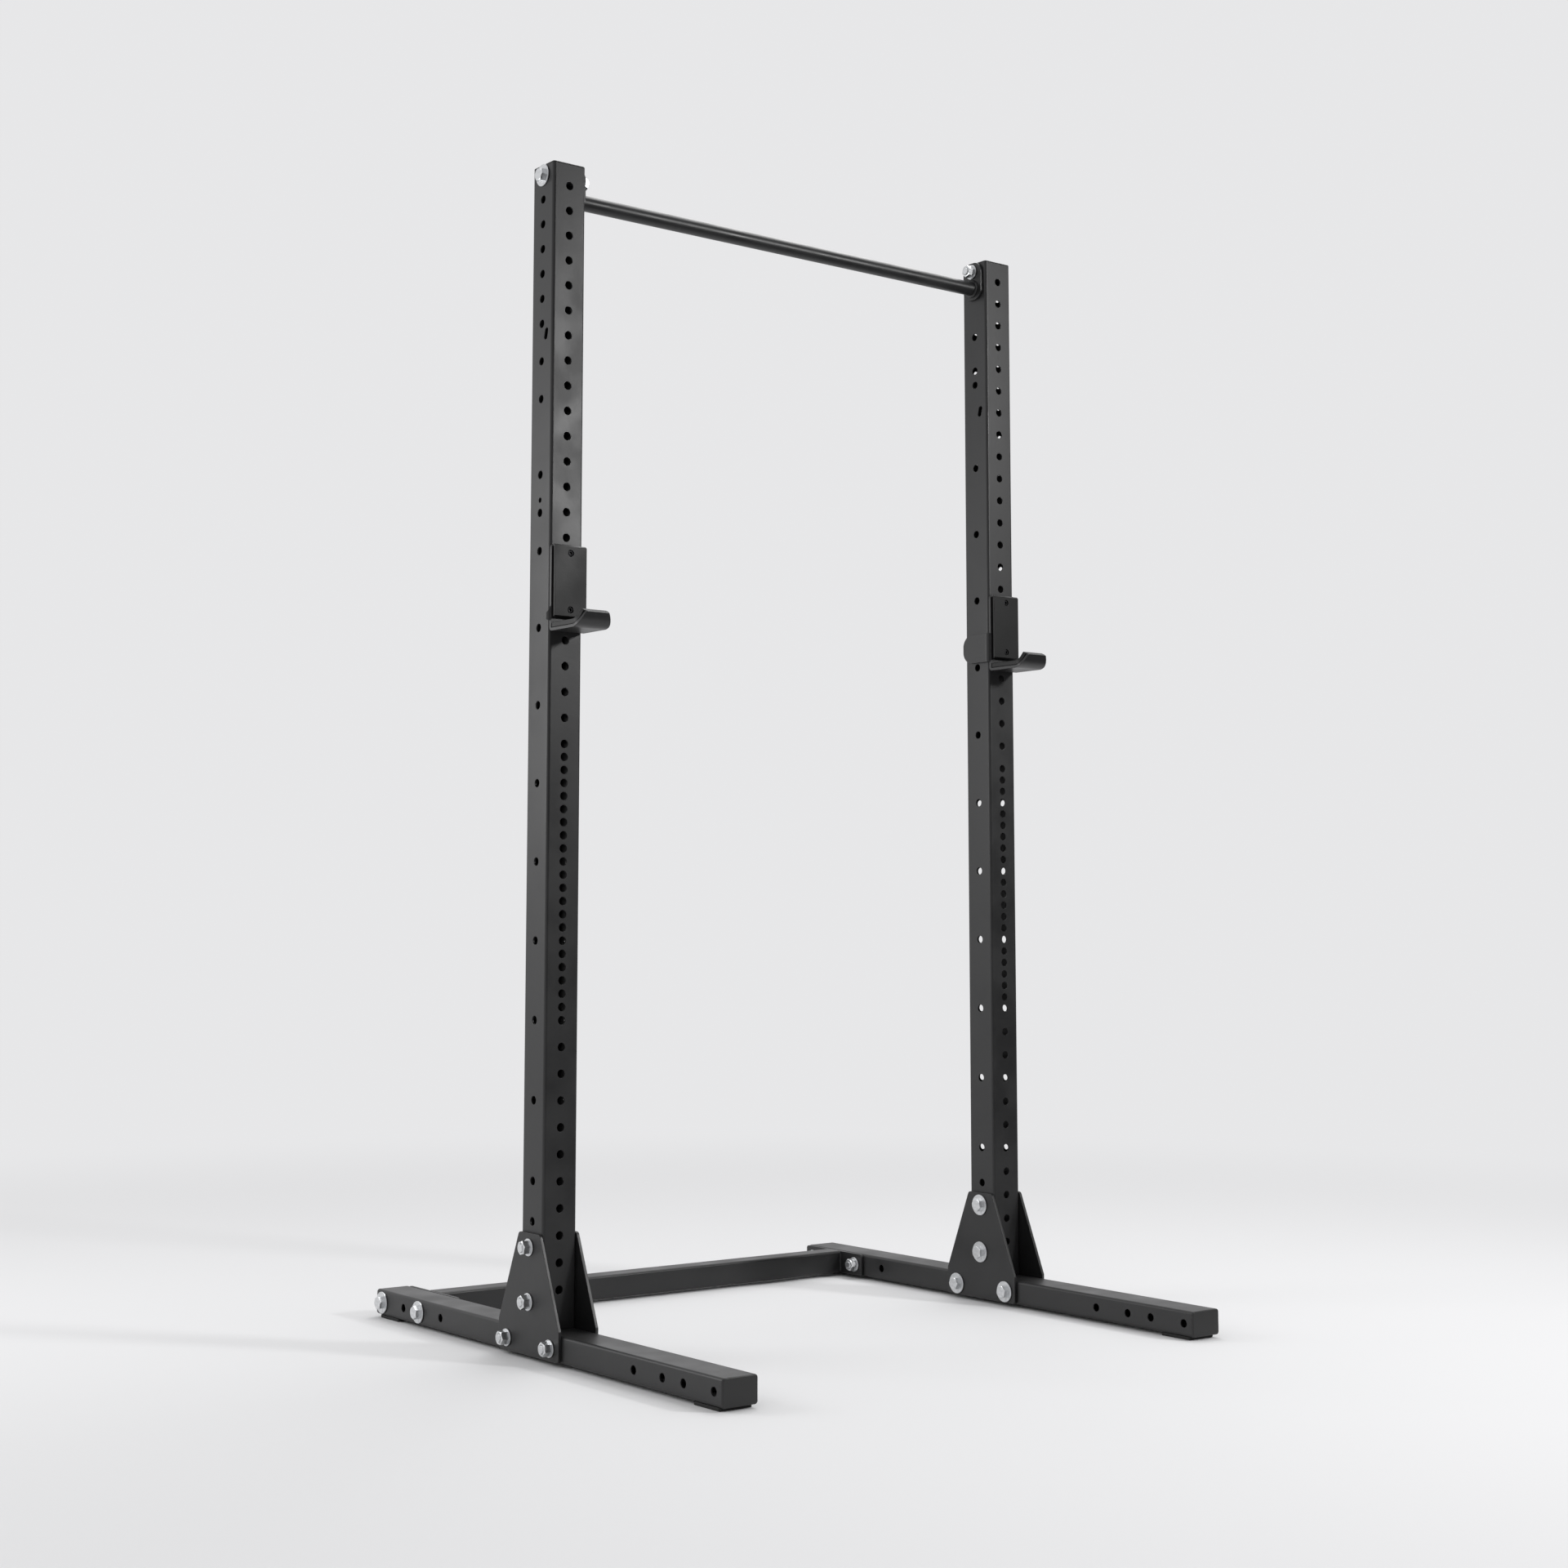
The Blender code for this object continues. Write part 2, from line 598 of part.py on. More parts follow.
def make_pull_up_bar():
    """A round tube welded through two flange plates, each bolted to an upright's inner side."""
    reach = INNER_HALF - GAP
    radius = BAR_DIAMETER / 2
    collar_start = reach - PLATE / 2
    collar_end = reach - PLATE - BAR_COLLAR_LENGTH
    stations = [
        (radius, BAR_SIDES, -reach),
        (radius, BAR_SIDES, -collar_start),
        (radius + BAR_COLLAR, BAR_SIDES, -collar_start),
        (radius + BAR_COLLAR, BAR_SIDES, -(reach - PLATE)),
        (radius, BAR_SIDES, -collar_end),
        (radius, BAR_SIDES, collar_end),
        (radius + BAR_COLLAR, BAR_SIDES, reach - PLATE),
        (radius + BAR_COLLAR, BAR_SIDES, collar_start),
        (radius, BAR_SIDES, collar_start),
        (radius, BAR_SIDES, reach),
    ]
    bm = turned_mesh(stations)
    place = Matrix.Translation((0, 0, BAR_HEIGHT)) @ rotation_to((1, 0, 0))
    bmesh.ops.transform(bm, matrix=place, verts=bm.verts)
    bar = make_object("pull_up_bar", bm, black_powder_coat("pull_up_bar_coat"))
    for side in SIDES.values():
        span = sorted((side * reach, side * (reach - PLATE)))
        half = BAR_FLANGE_WIDTH / 2
        low = BAR_HEIGHT - BAR_FLANGE_BELOW_BAR
        flange = box_mesh(span, (-half, half), (low, OVERALL_HEIGHT - BAR_FLANGE_TOP_DROP))
        round_edges(flange, (1, 0, 0), BAR_FLANGE_CORNER, 5)
        boolean(bar, "UNION", flange)
    bore = drill_mesh([(0, 0, BAR_HEIGHT)], (1, 0, 0), BAR_DIAMETER - 2 * BAR_WALL, INNER_HALF * 1.1, 12)
    boolean(bar, "DIFFERENCE", bore)
    ends = [(side * reach, 0, TOP_BOLT) for side in SIDES.values()]
    return boolean(bar, "DIFFERENCE", drill_mesh(ends, (1, 0, 0), HOLE_DIAMETER, 2 * PLATE))


# Bar cups

def cup_levels():
    """Heights of the back plate's top, the shelf's underside and the side ears."""
    top = CUP_PIN_HEIGHT + CUP_PLATE_TOP
    bottom = top - CUP_PLATE_HEIGHT
    ear_top = CUP_PIN_HEIGHT - CUP_EAR_TOP
    return top, bottom, ear_top, ear_top - CUP_EAR_HEIGHT


def cup_origin(side):
    return (side * UPRIGHT_SPACING / 2, FRONT_FACE, CUP_PIN_HEIGHT)


def cup_tab_levels():
    ear_bottom = cup_levels()[3]
    return ear_bottom + CUP_TAB_RISE + CUP_TAB_HEIGHT, ear_bottom + CUP_TAB_RISE


def cup_tab_way():
    """Length of the bent tab: out past the upright's side, round the corner and back along its outer face."""
    return CUP_EAR_CLEARANCE + PLATE + GAP + PLATE + CUP_TAB_LENGTH


def cup_tab_edge(share):
    """Height of the tab's hollow upper edge, for a share of the way from the back plate's side to the rear point."""
    tab_top, tab_bottom = cup_tab_levels()
    drop = (CUP_TAB_HEIGHT - CUP_TAB_TIP) * math.sqrt(1.0 - (1.0 - share) ** 2)
    return tab_top - drop


def cup_back_plate_mesh(centre, side):
    """The plate against the upright's front face, wider where the ear and the tab are bent from it."""
    top, bottom, ear_top, ear_bottom = cup_levels()
    tab_top, tab_bottom = cup_tab_levels()
    corner_share = (CUP_EAR_CLEARANCE + PLATE) / cup_tab_way()
    back = FRONT_FACE - GAP
    narrow = UPRIGHT_SIDE / 2
    wide = narrow + CUP_EAR_CLEARANCE + PLATE
    outline = [
        (-narrow, bottom),
        (narrow, bottom),
        (narrow, tab_bottom),
        (wide, tab_bottom),
        (wide, cup_tab_edge(corner_share)),
        (narrow + (wide - narrow) * 0.5, cup_tab_edge(corner_share * 0.5)),
        (narrow + (wide - narrow) * 0.2, cup_tab_edge(corner_share * 0.2)),
        (narrow, tab_top),
        (narrow, top),
        (-narrow, top),
        (-narrow, ear_top),
        (-wide, ear_top),
        (-wide, ear_bottom),
        (-narrow, ear_bottom),
    ]
    bm = outline_mesh([(centre + side * outward, back, height) for outward, height in outline], (0, -PLATE, 0))
    round_edges(bm, (0, 1, 0), CUP_CORNER, 2, lambda middle: middle.z > top - PLATE)
    return bm


def cup_ear_mesh(centre, side):
    """The long ear that hugs the upright's inner face, rounded at its rear corners."""
    top, bottom, ear_top, ear_bottom = cup_levels()
    near = centre - side * (UPRIGHT_SIDE / 2 + CUP_EAR_CLEARANCE)
    start = FRONT_FACE - GAP - PLATE / 2
    end = FRONT_FACE + CUP_EAR_LENGTH
    bm = box_mesh(sorted((near, near - side * PLATE)), (start, end), (ear_bottom, ear_top))
    return round_edges(bm, (1, 0, 0), CUP_EAR_ROUND, 5, lambda middle: middle.y > end - PLATE)


def cup_tab_mesh(centre, side):
    """The short tab on the upright's outer face: a hollow curve from the back plate's side down to a rear point."""
    tab_top, tab_bottom = cup_tab_levels()
    near = centre + side * (UPRIGHT_SIDE / 2 + CUP_EAR_CLEARANCE)
    start = FRONT_FACE - GAP - PLATE / 2
    end = FRONT_FACE + CUP_TAB_LENGTH
    tip = tab_bottom + CUP_TAB_TIP
    outline = [(start, tab_bottom), (FRONT_FACE, tab_bottom), (end, tip - CUP_TAB_EDGE)]
    for step in range(CUP_TAB_STEPS + 1):
        y = end + (start - end) * step / CUP_TAB_STEPS
        outline.append((y, cup_tab_edge(1.0 - (end - y) / cup_tab_way())))
    return outline_mesh([(near, y, z) for y, z in outline], (side * PLATE, 0, 0))


def lip_profile(offset, begin=0.0):
    """Points of the shelf and its curled lip, offset from the underside line, as (forward, up) pairs."""
    points = [(begin, offset), (CUP_SHELF_FLAT, offset)]
    for step in range(1, CUP_LIP_STEPS + 1):
        turn = CUP_LIP_TURN * step / CUP_LIP_STEPS
        reach = CUP_LIP_RADIUS - offset
        points.append((CUP_SHELF_FLAT + reach * math.sin(turn), CUP_LIP_RADIUS - reach * math.cos(turn)))
    tip_forward, tip_up = points[-1]
    tip = (tip_forward + CUP_LIP_STRAIGHT * math.cos(CUP_LIP_TURN), tip_up + CUP_LIP_STRAIGHT * math.sin(CUP_LIP_TURN))
    return points + [tip]


def cup_shelf_mesh(centre):
    """The shelf bent up at its front into a curled lip, as one bent plate."""
    top, bottom, ear_top, ear_bottom = cup_levels()
    start = FRONT_FACE - GAP - PLATE / 2
    outline = lip_profile(0.0) + lip_profile(PLATE)[::-1]
    left = centre - UPRIGHT_SIDE / 2
    points = [(left, start - forward, bottom + up) for forward, up in outline]
    return outline_mesh(points, (UPRIGHT_SIDE, 0, 0))


def cup_liner_mesh(centre):
    """The plastic layer on the shelf and up the lip, following the plate's bend."""
    bottom = cup_levels()[1]
    start = FRONT_FACE - GAP - PLATE / 2
    low = PLATE + GAP
    begin = PLATE / 2 + GAP
    outline = lip_profile(low, begin) + lip_profile(low + CUP_LINER_THICKNESS, begin)[::-1]
    left = centre - UPRIGHT_SIDE / 2
    points = [(left, start - forward, bottom + up) for forward, up in outline]
    return outline_mesh(points, (UPRIGHT_SIDE, 0, 0))


def cup_lip_limit_mesh(centre, margin=0.0):
    """The plan shape of the shelf: square at the back, with round corners at the lip's tip."""
    top, bottom, ear_top, ear_bottom = cup_levels()
    tip_forward = lip_profile(0.0)[-1][0]
    start = FRONT_FACE - GAP - PLATE / 2
    front = start - tip_forward - GAP + margin
    half = UPRIGHT_SIDE / 2 + GAP - margin
    bm = box_mesh((centre - half, centre + half), (front, start + PLATE), (bottom - PLATE, top))
    return round_edges(bm, (0, 0, 1), CUP_LIP_CORNER, 4, lambda middle: middle.y < front + PLATE)


def cup_screw_heights():
    top, bottom, ear_top, ear_bottom = cup_levels()
    pad_top = top - CUP_PAD_TOP
    return (pad_top - CUP_SCREW_INSET, pad_top - CUP_PAD_HEIGHT + CUP_SCREW_INSET)


def cup_pad_front():
    return FRONT_FACE - 2 * GAP - PLATE - CUP_PAD_THICKNESS


def make_cup(side_name, side):
    """One welded cup: back plate, side ear and tab, locating pin, and the shelf with its curled lip."""
    centre = side * UPRIGHT_SPACING / 2
    name = f"{side_name}_cup_frame"
    shelf = make_object(f"{name}_shelf", cup_shelf_mesh(centre))
    shelf.hide_render = True
    shelf.display_type = "WIRE"
    boolean(shelf, "INTERSECT", cup_lip_limit_mesh(centre))
    coat = black_powder_coat(f"{name}_coat")
    frame = make_object(name, cup_back_plate_mesh(centre, side), coat, cup_origin(side))
    boolean(frame, "UNION", cup_ear_mesh(centre, side))
    boolean(frame, "UNION", cup_tab_mesh(centre, side))
    join = frame.modifiers.new("Shelf", "BOOLEAN")
    join.operation = "UNION"
    join.solver = "EXACT"
    join.object = shelf
    pin_start = FRONT_FACE - GAP - CUP_PIN_WELD
    pin_end = FRONT_FACE + CUP_PIN_LENGTH
    radius = BOLT_DIAMETER / 2
    pin = turned_mesh([
        (radius, HOLE_SIDES, pin_start),
        (radius, HOLE_SIDES, pin_end - 2 * EDGE_BREAK),
        (radius - 2 * EDGE_BREAK, HOLE_SIDES, pin_end),
    ])
    pin_place = Matrix.Translation((centre, 0, CUP_PIN_HEIGHT)) @ rotation_to((0, 1, 0))
    bmesh.ops.transform(pin, matrix=pin_place, verts=pin.verts)
    boolean(frame, "UNION", pin)
    places = [(centre, FRONT_FACE, height) for height in cup_screw_heights()]
    hole = SCREW_DIAMETER + 2 * SCREW_CLEARANCE
    return boolean(frame, "DIFFERENCE", drill_mesh(places, (0, 1, 0), hole, 2 * PLATE))


def make_cup_liner(side_name, side):
    centre = side * UPRIGHT_SPACING / 2
    name = f"{side_name}_cup_liner"
    liner = make_object(name, cup_liner_mesh(centre), black_plastic(f"{name}_plastic"), cup_origin(side))
    return boolean(liner, "INTERSECT", cup_lip_limit_mesh(centre, CUP_LINER_MARGIN))


def make_cup_pad(side_name, side):
    """The plastic pad that keeps the barbell off the back plate: a slab on a smaller block, with two sunk holes."""
    centre = side * UPRIGHT_SPACING / 2
    top = cup_levels()[0] - CUP_PAD_TOP
    front = cup_pad_front()
    half = CUP_PAD_WIDTH / 2
    bottom = top - CUP_PAD_HEIGHT
    outline = [
        (front + CUP_PAD_SLAB, bottom),
        (front + CUP_PAD_SLAB, top),
        (front + CUP_PAD_EDGE, top),
        (front, top - CUP_PAD_EDGE),
        (front, bottom + CUP_PAD_EDGE),
        (front + CUP_PAD_EDGE, bottom),
    ]
    bm = outline_mesh([(centre - half, y, z) for y, z in outline], (2 * half, 0, 0))
    name = f"{side_name}_cup_pad"
    pad = make_object(name, bm, black_plastic(f"{name}_plastic"), cup_origin(side))
    inner = half - CUP_PAD_STEP
    depth_span = (front + CUP_PAD_SLAB / 2, front + CUP_PAD_THICKNESS)
    block = box_mesh((centre - inner, centre + inner), depth_span, (bottom + CUP_PAD_STEP, top - CUP_PAD_STEP))
    boolean(pad, "UNION", block)
    places = [(centre, front, height) for height in cup_screw_heights()]
    hole = SCREW_DIAMETER + 2 * SCREW_CLEARANCE
    sink = SCREW_HEAD_DIAMETER + 2 * SCREW_CLEARANCE
    depth = SCREW_SINK + SCREW_HEAD_HEIGHT + GAP
    boolean(pad, "DIFFERENCE", drill_mesh(places, (0, 1, 0), hole, 2 * CUP_PAD_THICKNESS, SCREW_SIDES))
    return boolean(pad, "DIFFERENCE", drill_mesh(places, (0, 1, 0), sink, depth, SCREW_SIDES))


def make_pad_screw(side_name, side, level_name, height):
    """A cap screw sunk in the pad and ending inside the back plate."""
    length = CUP_PAD_THICKNESS - SCREW_SINK - SCREW_HEAD_HEIGHT + PLATE
    shank = SCREW_DIAMETER / 2
    head = SCREW_HEAD_DIAMETER / 2
    bm = turned_mesh([
        (head - EDGE_BREAK / 2, SCREW_SIDES, 0.0),
        (head, SCREW_SIDES, EDGE_BREAK / 2),
        (head, SCREW_SIDES, SCREW_HEAD_HEIGHT),
        (shank, SCREW_SIDES, SCREW_HEAD_HEIGHT),
        (shank, SCREW_SIDES, SCREW_HEAD_HEIGHT + length),
    ])
    place = Matrix.Translation((side * UPRIGHT_SPACING / 2, cup_pad_front() + SCREW_SINK, height))
    bmesh.ops.transform(bm, matrix=place @ rotation_to((0, 1, 0)), verts=bm.verts)
    name = f"{side_name}_cup_pad_{level_name}_screw"
    return make_object(name, bm, black_oxide(f"{name}_oxide"), cup_origin(side))


# Bolts and nuts, built along +Z with the clamped stack starting at height 0

def bolt_mesh(grip, material):
    """A hex head on a wide washer, with a shank as long as the stack, the far washer and the nut."""
    shank = BOLT_DIAMETER / 2
    hexagon = flats_radius(HEX_FLATS, 6)
    washer = HEAD_WASHER_DIAMETER / 2
    end = grip + WASHER_THICKNESS + NUT_HEIGHT + 2 * GAP + THREAD_END
    bm = turned_mesh([
        (hexagon - EDGE_BREAK, 6, -WASHER_THICKNESS - HEAD_HEIGHT),
        (hexagon, 6, -WASHER_THICKNESS - HEAD_HEIGHT + EDGE_BREAK / 2),
        (hexagon, 6, -WASHER_THICKNESS),
        (washer, WASHER_SIDES, -WASHER_THICKNESS),
        (washer, WASHER_SIDES, 0.0),
        (shank, HOLE_SIDES, 0.0),
        (shank, HOLE_SIDES, end),
    ])
    return finished_mesh("bolt_shape", bm, material)


def nut_mesh(material):
    """A hex nut on a washer. Its washer faces the stack, so it stands on height 0 and rises along +Z."""
    hexagon = flats_radius(HEX_FLATS, 6)
    washer = NUT_WASHER_DIAMETER / 2
    bore = BOLT_DIAMETER / 2 + NUT_CLEARANCE
    top = WASHER_THICKNESS + NUT_HEIGHT
    stations = [
        (bore, HOLE_SIDES, 0.0),
        (washer, WASHER_SIDES, 0.0),
        (washer, WASHER_SIDES, WASHER_THICKNESS),
        (hexagon, 6, WASHER_THICKNESS),
        (hexagon, 6, top - EDGE_BREAK / 2),
        (hexagon - EDGE_BREAK, 6, top),
        (bore, HOLE_SIDES, top),
    ]
    return finished_mesh("nut_shape", turned_mesh(stations, hollow=True), material)


def add_fastener(name, bolt, nut, head_face, way, grip, y, z):
    """A bolt entering at head_face towards way along X, and its nut on the far side of the stack."""
    turn = rotation_to((way, 0, 0))
    bolt_place = Matrix.Translation((head_face - way * GAP, y, z)) @ turn
    nut_place = Matrix.Translation((head_face + way * (grip + GAP), y, z)) @ turn
    place_copy(f"{name}_bolt", bolt, bolt_place)
    place_copy(f"{name}_nut", nut, nut_place)


def add_gusset_fasteners(side_name, side, bolt, nut, grip):
    """Heads on the inner side, nuts on the outer side, through both gussets and the tube between them."""
    head_face = side * (INNER_HALF - GAP - PLATE)
    places = {
        "gusset_upper": (0.0, gusset_bolt_heights()[1]),
        "gusset_lower": (0.0, gusset_bolt_heights()[0]),
        "gusset_front": (-GUSSET_FOOT_BOLT, FOOT_MIDDLE),
        "gusset_rear": (GUSSET_FOOT_BOLT, FOOT_MIDDLE),
    }
    for name, (y, z) in places.items():
        add_fastener(f"{side_name}_{name}", bolt, nut, head_face, side, grip, y, z)


def add_flange_fasteners(side_name, side, bolt, nut, grip):
    """Heads on the outer side, nuts on the flanges of the crossmember and the pull-up bar."""
    head_face = side * (INNER_HALF + UPRIGHT_SIDE)
    places = {
        "crossmember_front": (CROSS_Y - FLANGE_BOLT_PITCH / 2, FOOT_MIDDLE),
        "crossmember_rear": (CROSS_Y + FLANGE_BOLT_PITCH / 2, FOOT_MIDDLE),
        "pull_up_bar": (0.0, TOP_BOLT),
    }
    for name, (y, z) in places.items():
        add_fastener(f"{side_name}_{name}", bolt, nut, head_face, -side, grip, y, z)


def build():
    clear_scene()
    zinc = bright_zinc("fastener_zinc")
    gusset_grip = UPRIGHT_SIDE + 2 * (PLATE + GAP)
    flange_grip = UPRIGHT_SIDE + PLATE + GAP
    long_bolt = bolt_mesh(gusset_grip, zinc)
    short_bolt = bolt_mesh(flange_grip, zinc)
    nut = nut_mesh(zinc)
    make_crossmember()
    make_pull_up_bar()
    for side_name, side in SIDES.items():
        make_upright(side_name, side)
        make_upright_cap(side_name, side)
        make_foot(side_name, side)
        for end_name, end in {"front": -1.0, "rear": 1.0}.items():
            make_foot_cap(side_name, side, end_name, end)
            make_rubber_pad(side_name, side, end_name, end)
        for face_name, face in {"inner": -side, "outer": side}.items():
            make_gusset(side_name, side, face_name, face)
        make_cup(side_name, side)
        make_cup_liner(side_name, side)
        make_cup_pad(side_name, side)
        upper, lower = cup_screw_heights()
        make_pad_screw(side_name, side, "upper", upper)
        make_pad_screw(side_name, side, "lower", lower)
        add_gusset_fasteners(side_name, side, long_bolt, nut, gusset_grip)
        add_flange_fasteners(side_name, side, short_bolt, nut, flange_grip)


build()
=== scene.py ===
# %% [markdown]
# # A half rack, dressed around its CAD frame
# Two square uprights are bolted to box feet with gusset plates, a round bar joins their tops and a
# square tube joins the feet at the back. Two bar cups hang in the uprights' holes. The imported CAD
# model is loaded first and stays fixed: every piece below takes its place and size from the CAD
# nodes' boxes, so that no piece has to be moved to fit.

# %% Load the frame
import json
import math

import bmesh
import bpy
from mathutils import Matrix, Vector


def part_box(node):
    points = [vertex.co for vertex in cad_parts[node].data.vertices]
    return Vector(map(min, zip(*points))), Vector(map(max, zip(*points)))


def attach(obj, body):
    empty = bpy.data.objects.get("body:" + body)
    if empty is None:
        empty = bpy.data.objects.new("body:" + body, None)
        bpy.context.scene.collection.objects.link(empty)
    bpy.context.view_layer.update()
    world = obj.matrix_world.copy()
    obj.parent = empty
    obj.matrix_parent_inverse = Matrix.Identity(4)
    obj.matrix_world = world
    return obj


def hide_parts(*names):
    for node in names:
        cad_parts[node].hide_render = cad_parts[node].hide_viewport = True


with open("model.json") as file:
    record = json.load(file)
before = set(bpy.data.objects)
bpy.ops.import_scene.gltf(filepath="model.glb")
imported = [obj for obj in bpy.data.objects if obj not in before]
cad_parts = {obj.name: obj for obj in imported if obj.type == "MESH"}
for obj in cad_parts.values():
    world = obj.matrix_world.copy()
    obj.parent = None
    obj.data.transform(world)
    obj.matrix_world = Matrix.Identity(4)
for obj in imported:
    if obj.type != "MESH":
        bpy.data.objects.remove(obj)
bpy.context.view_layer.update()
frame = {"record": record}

bodies = frame["record"]["behaviour"]["bodies"]
body_of_node = {node: body for body, nodes in bodies.items() for node in nodes}

# %% [markdown]
# ## Sizes that the whole rack shares
# The steel is sold in inches, so the sizes are written in inches and turned into metres once. The
# heights come from the CAD boxes: a taller rack in the CAD gets a taller dress without an edit.

# %% Shared sizes
INCH = 0.0254
SIDES = {"left": -1.0, "right": 1.0}
ENDS = {"front": -1.0, "rear": 1.0}
LEVELS = ("upper", "lower")
TUBE_SIDE = 3.0 * INCH
TUBE_HALF = TUBE_SIDE / 2
TUBE_CORNER = 0.0060
TUBE_WALL = 0.0030
PLATE = 0.25 * INCH
GAP = 0.0003
HOLE_DIAMETER = 0.65 * INCH


def middle(node):
    low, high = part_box(node)
    return (low + high) / 2


upright_x = {name: middle(f"{name}_upright").x for name in SIDES}
rack_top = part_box("left_upright_cap")[1].z
foot_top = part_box("left_foot")[1].z
foot_middle = middle("left_foot").z
first_hole = rack_top - 1.85 * INCH
print("uprights at x =", {name: round(x, 4) for name, x in upright_x.items()})
print("first hole at", round(first_hole, 4))

# %% [markdown]
# ## Shader groups: what the finishes have in common
# Powder, plastic and zinc differ in colour and gloss, but all have a skin that isn't quite even,
# edges where the finish is thinner, and dust on what faces up. Each of these effects is one node
# group. A group gives only masks and heights, and each material decides what it does with them.
# With the nodes copied into every material, a change would have to be made seven times.

# %% Helpers for nodes
def fill(tree, node, inputs):
    """Gives each input a plain value, or a link where the value is another node's output."""
    for label, value in inputs.items():
        if isinstance(value, bpy.types.NodeSocket):
            tree.links.new(value, node.inputs[label])
        else:
            node.inputs[label].default_value = value


def add_node(tree, kind, inputs=None, **settings):
    node = tree.nodes.new("ShaderNode" + kind)
    for name, value in settings.items():
        setattr(node, name, value)
    fill(tree, node, inputs or {})
    return node


def sum_up(tree, operation, first, second):
    """The result of a Math node, each input either a socket or a plain number."""
    node = add_node(tree, "Math", {0: first, 1: second}, operation=operation)
    return node.outputs[0]


def measure(tree, operation, *vectors):
    """The number that a Vector Math node makes of one vector or two."""
    node = add_node(tree, "VectorMath", dict(enumerate(vectors)), operation=operation)
    return node.outputs["Value"]


def scaled(tree, source, from_low, from_high, to_low=0.0, to_high=1.0, **settings):
    """The result of a Map Range node: one range of values turned into another and clamped."""
    inputs = {"Value": source, "From Min": from_low, "From Max": from_high,
              "To Min": to_low, "To Max": to_high}
    return add_node(tree, "MapRange", inputs, **settings).outputs["Result"]


def start_group(name, inputs, outputs):
    """An empty group with named number inputs (name: default) and named number outputs."""
    tree = bpy.data.node_groups.new(name, "ShaderNodeTree")
    kind = "NodeSocketFloat"
    for label, value in inputs.items():
        socket = tree.interface.new_socket(name=label, in_out="INPUT", socket_type=kind)
        socket.default_value = value
    for label in outputs:
        tree.interface.new_socket(name=label, in_out="OUTPUT", socket_type=kind)
    given = tree.nodes.new("NodeGroupInput").outputs
    return tree, given, tree.nodes.new("NodeGroupOutput")


def noise_of(tree, size, detail=2.0, stretch=None):
    """Noise in the piece's own coordinates. Size is the width of one lump in metres."""
    place = add_node(tree, "TexCoord").outputs["Object"]
    if stretch is not None:
        mapping = add_node(tree, "Mapping", {"Scale": stretch, "Vector": place})
        place = mapping.outputs["Vector"]
    inputs = {"Vector": place, "Detail": detail, "Scale": sum_up(tree, "DIVIDE", 1.0, size)}
    return add_node(tree, "TexNoise", inputs).outputs["Fac"]


# %% [markdown]
# ### The skin
# Sprayed powder melts into a film with lumps about a millimetre wide, on a slower wave that is six
# lumps wide. Moulded plastic has the same two levels at other sizes. Noise at two sizes gives both.

# %% Group: uneven skin
WAVE_LUMPS = 6.0
WAVE_HEIGHT = 1.5
PATCH_LIMITS = (0.35, 0.65)


def make_skin_group():
    defaults = {"Lump size": 0.0012, "Patch size": 0.09}
    tree, given, result = start_group("Uneven skin", defaults, ("Height", "Patches"))
    lumps = noise_of(tree, given["Lump size"], 3.0)
    waves = noise_of(tree, sum_up(tree, "MULTIPLY", given["Lump size"], WAVE_LUMPS), 1.0)
    height = sum_up(tree, "ADD", lumps, sum_up(tree, "MULTIPLY", waves, WAVE_HEIGHT))
    patches = scaled(tree, noise_of(tree, given["Patch size"], 4.0), *PATCH_LIMITS)
    fill(tree, result, {"Height": height, "Patches": patches})
    return tree


skin_group = make_skin_group()
print("group made:", skin_group.name)

# %% [markdown]
# ### Edges
# At an outside edge the film is thinner and gets rubbed by hands and bars. The Bevel node gives the
# normal that the surface would have with its edges rounded off. Where it leans away from the true
# normal, an edge is near. Edges painted by hand would be lost with every change in shape.

# %% Group: rubbed edges
EDGE_LIKENESS = (0.995, 0.86)
BREAK_UP_LIMITS = (0.38, 0.58)


def make_edge_group():
    defaults = {"Width": 0.0012, "Break-up size": 0.006}
    tree, given, result = start_group("Rubbed edges", defaults, ("Mask",))
    rounded = add_node(tree, "Bevel", {"Radius": given["Width"]}, samples=4)
    plain = add_node(tree, "NewGeometry")
    likeness = measure(tree, "DOT_PRODUCT", rounded.outputs["Normal"], plain.outputs["Normal"])
    near_edge = scaled(tree, likeness, *EDGE_LIKENESS)
    broken = scaled(tree, noise_of(tree, given["Break-up size"], 3.0), *BREAK_UP_LIMITS)
    fill(tree, result, {"Mask": sum_up(tree, "MULTIPLY", near_edge, broken)})
    return tree


edge_group = make_edge_group()
print("group made:", edge_group.name)

# %% [markdown]
# ### Dust and fine marks
# Dust settles on what faces up and gathers in patches. Cleaning and the bar leave fine marks: thin
# lines, level or upright. Noise that is squeezed in some directions turns its lumps into lines.

# %% Group: dust and marks
DUST_PATCH = 0.035
DUST_LIMITS = (0.35, 0.75)
DUST_LIES_FROM = 0.55
LEVEL_LINES = ((1.0, 1.0, 26.0), 0.66, 0.72)
UPRIGHT_LINES = ((22.0, 22.0, 1.0), 0.68, 0.74)


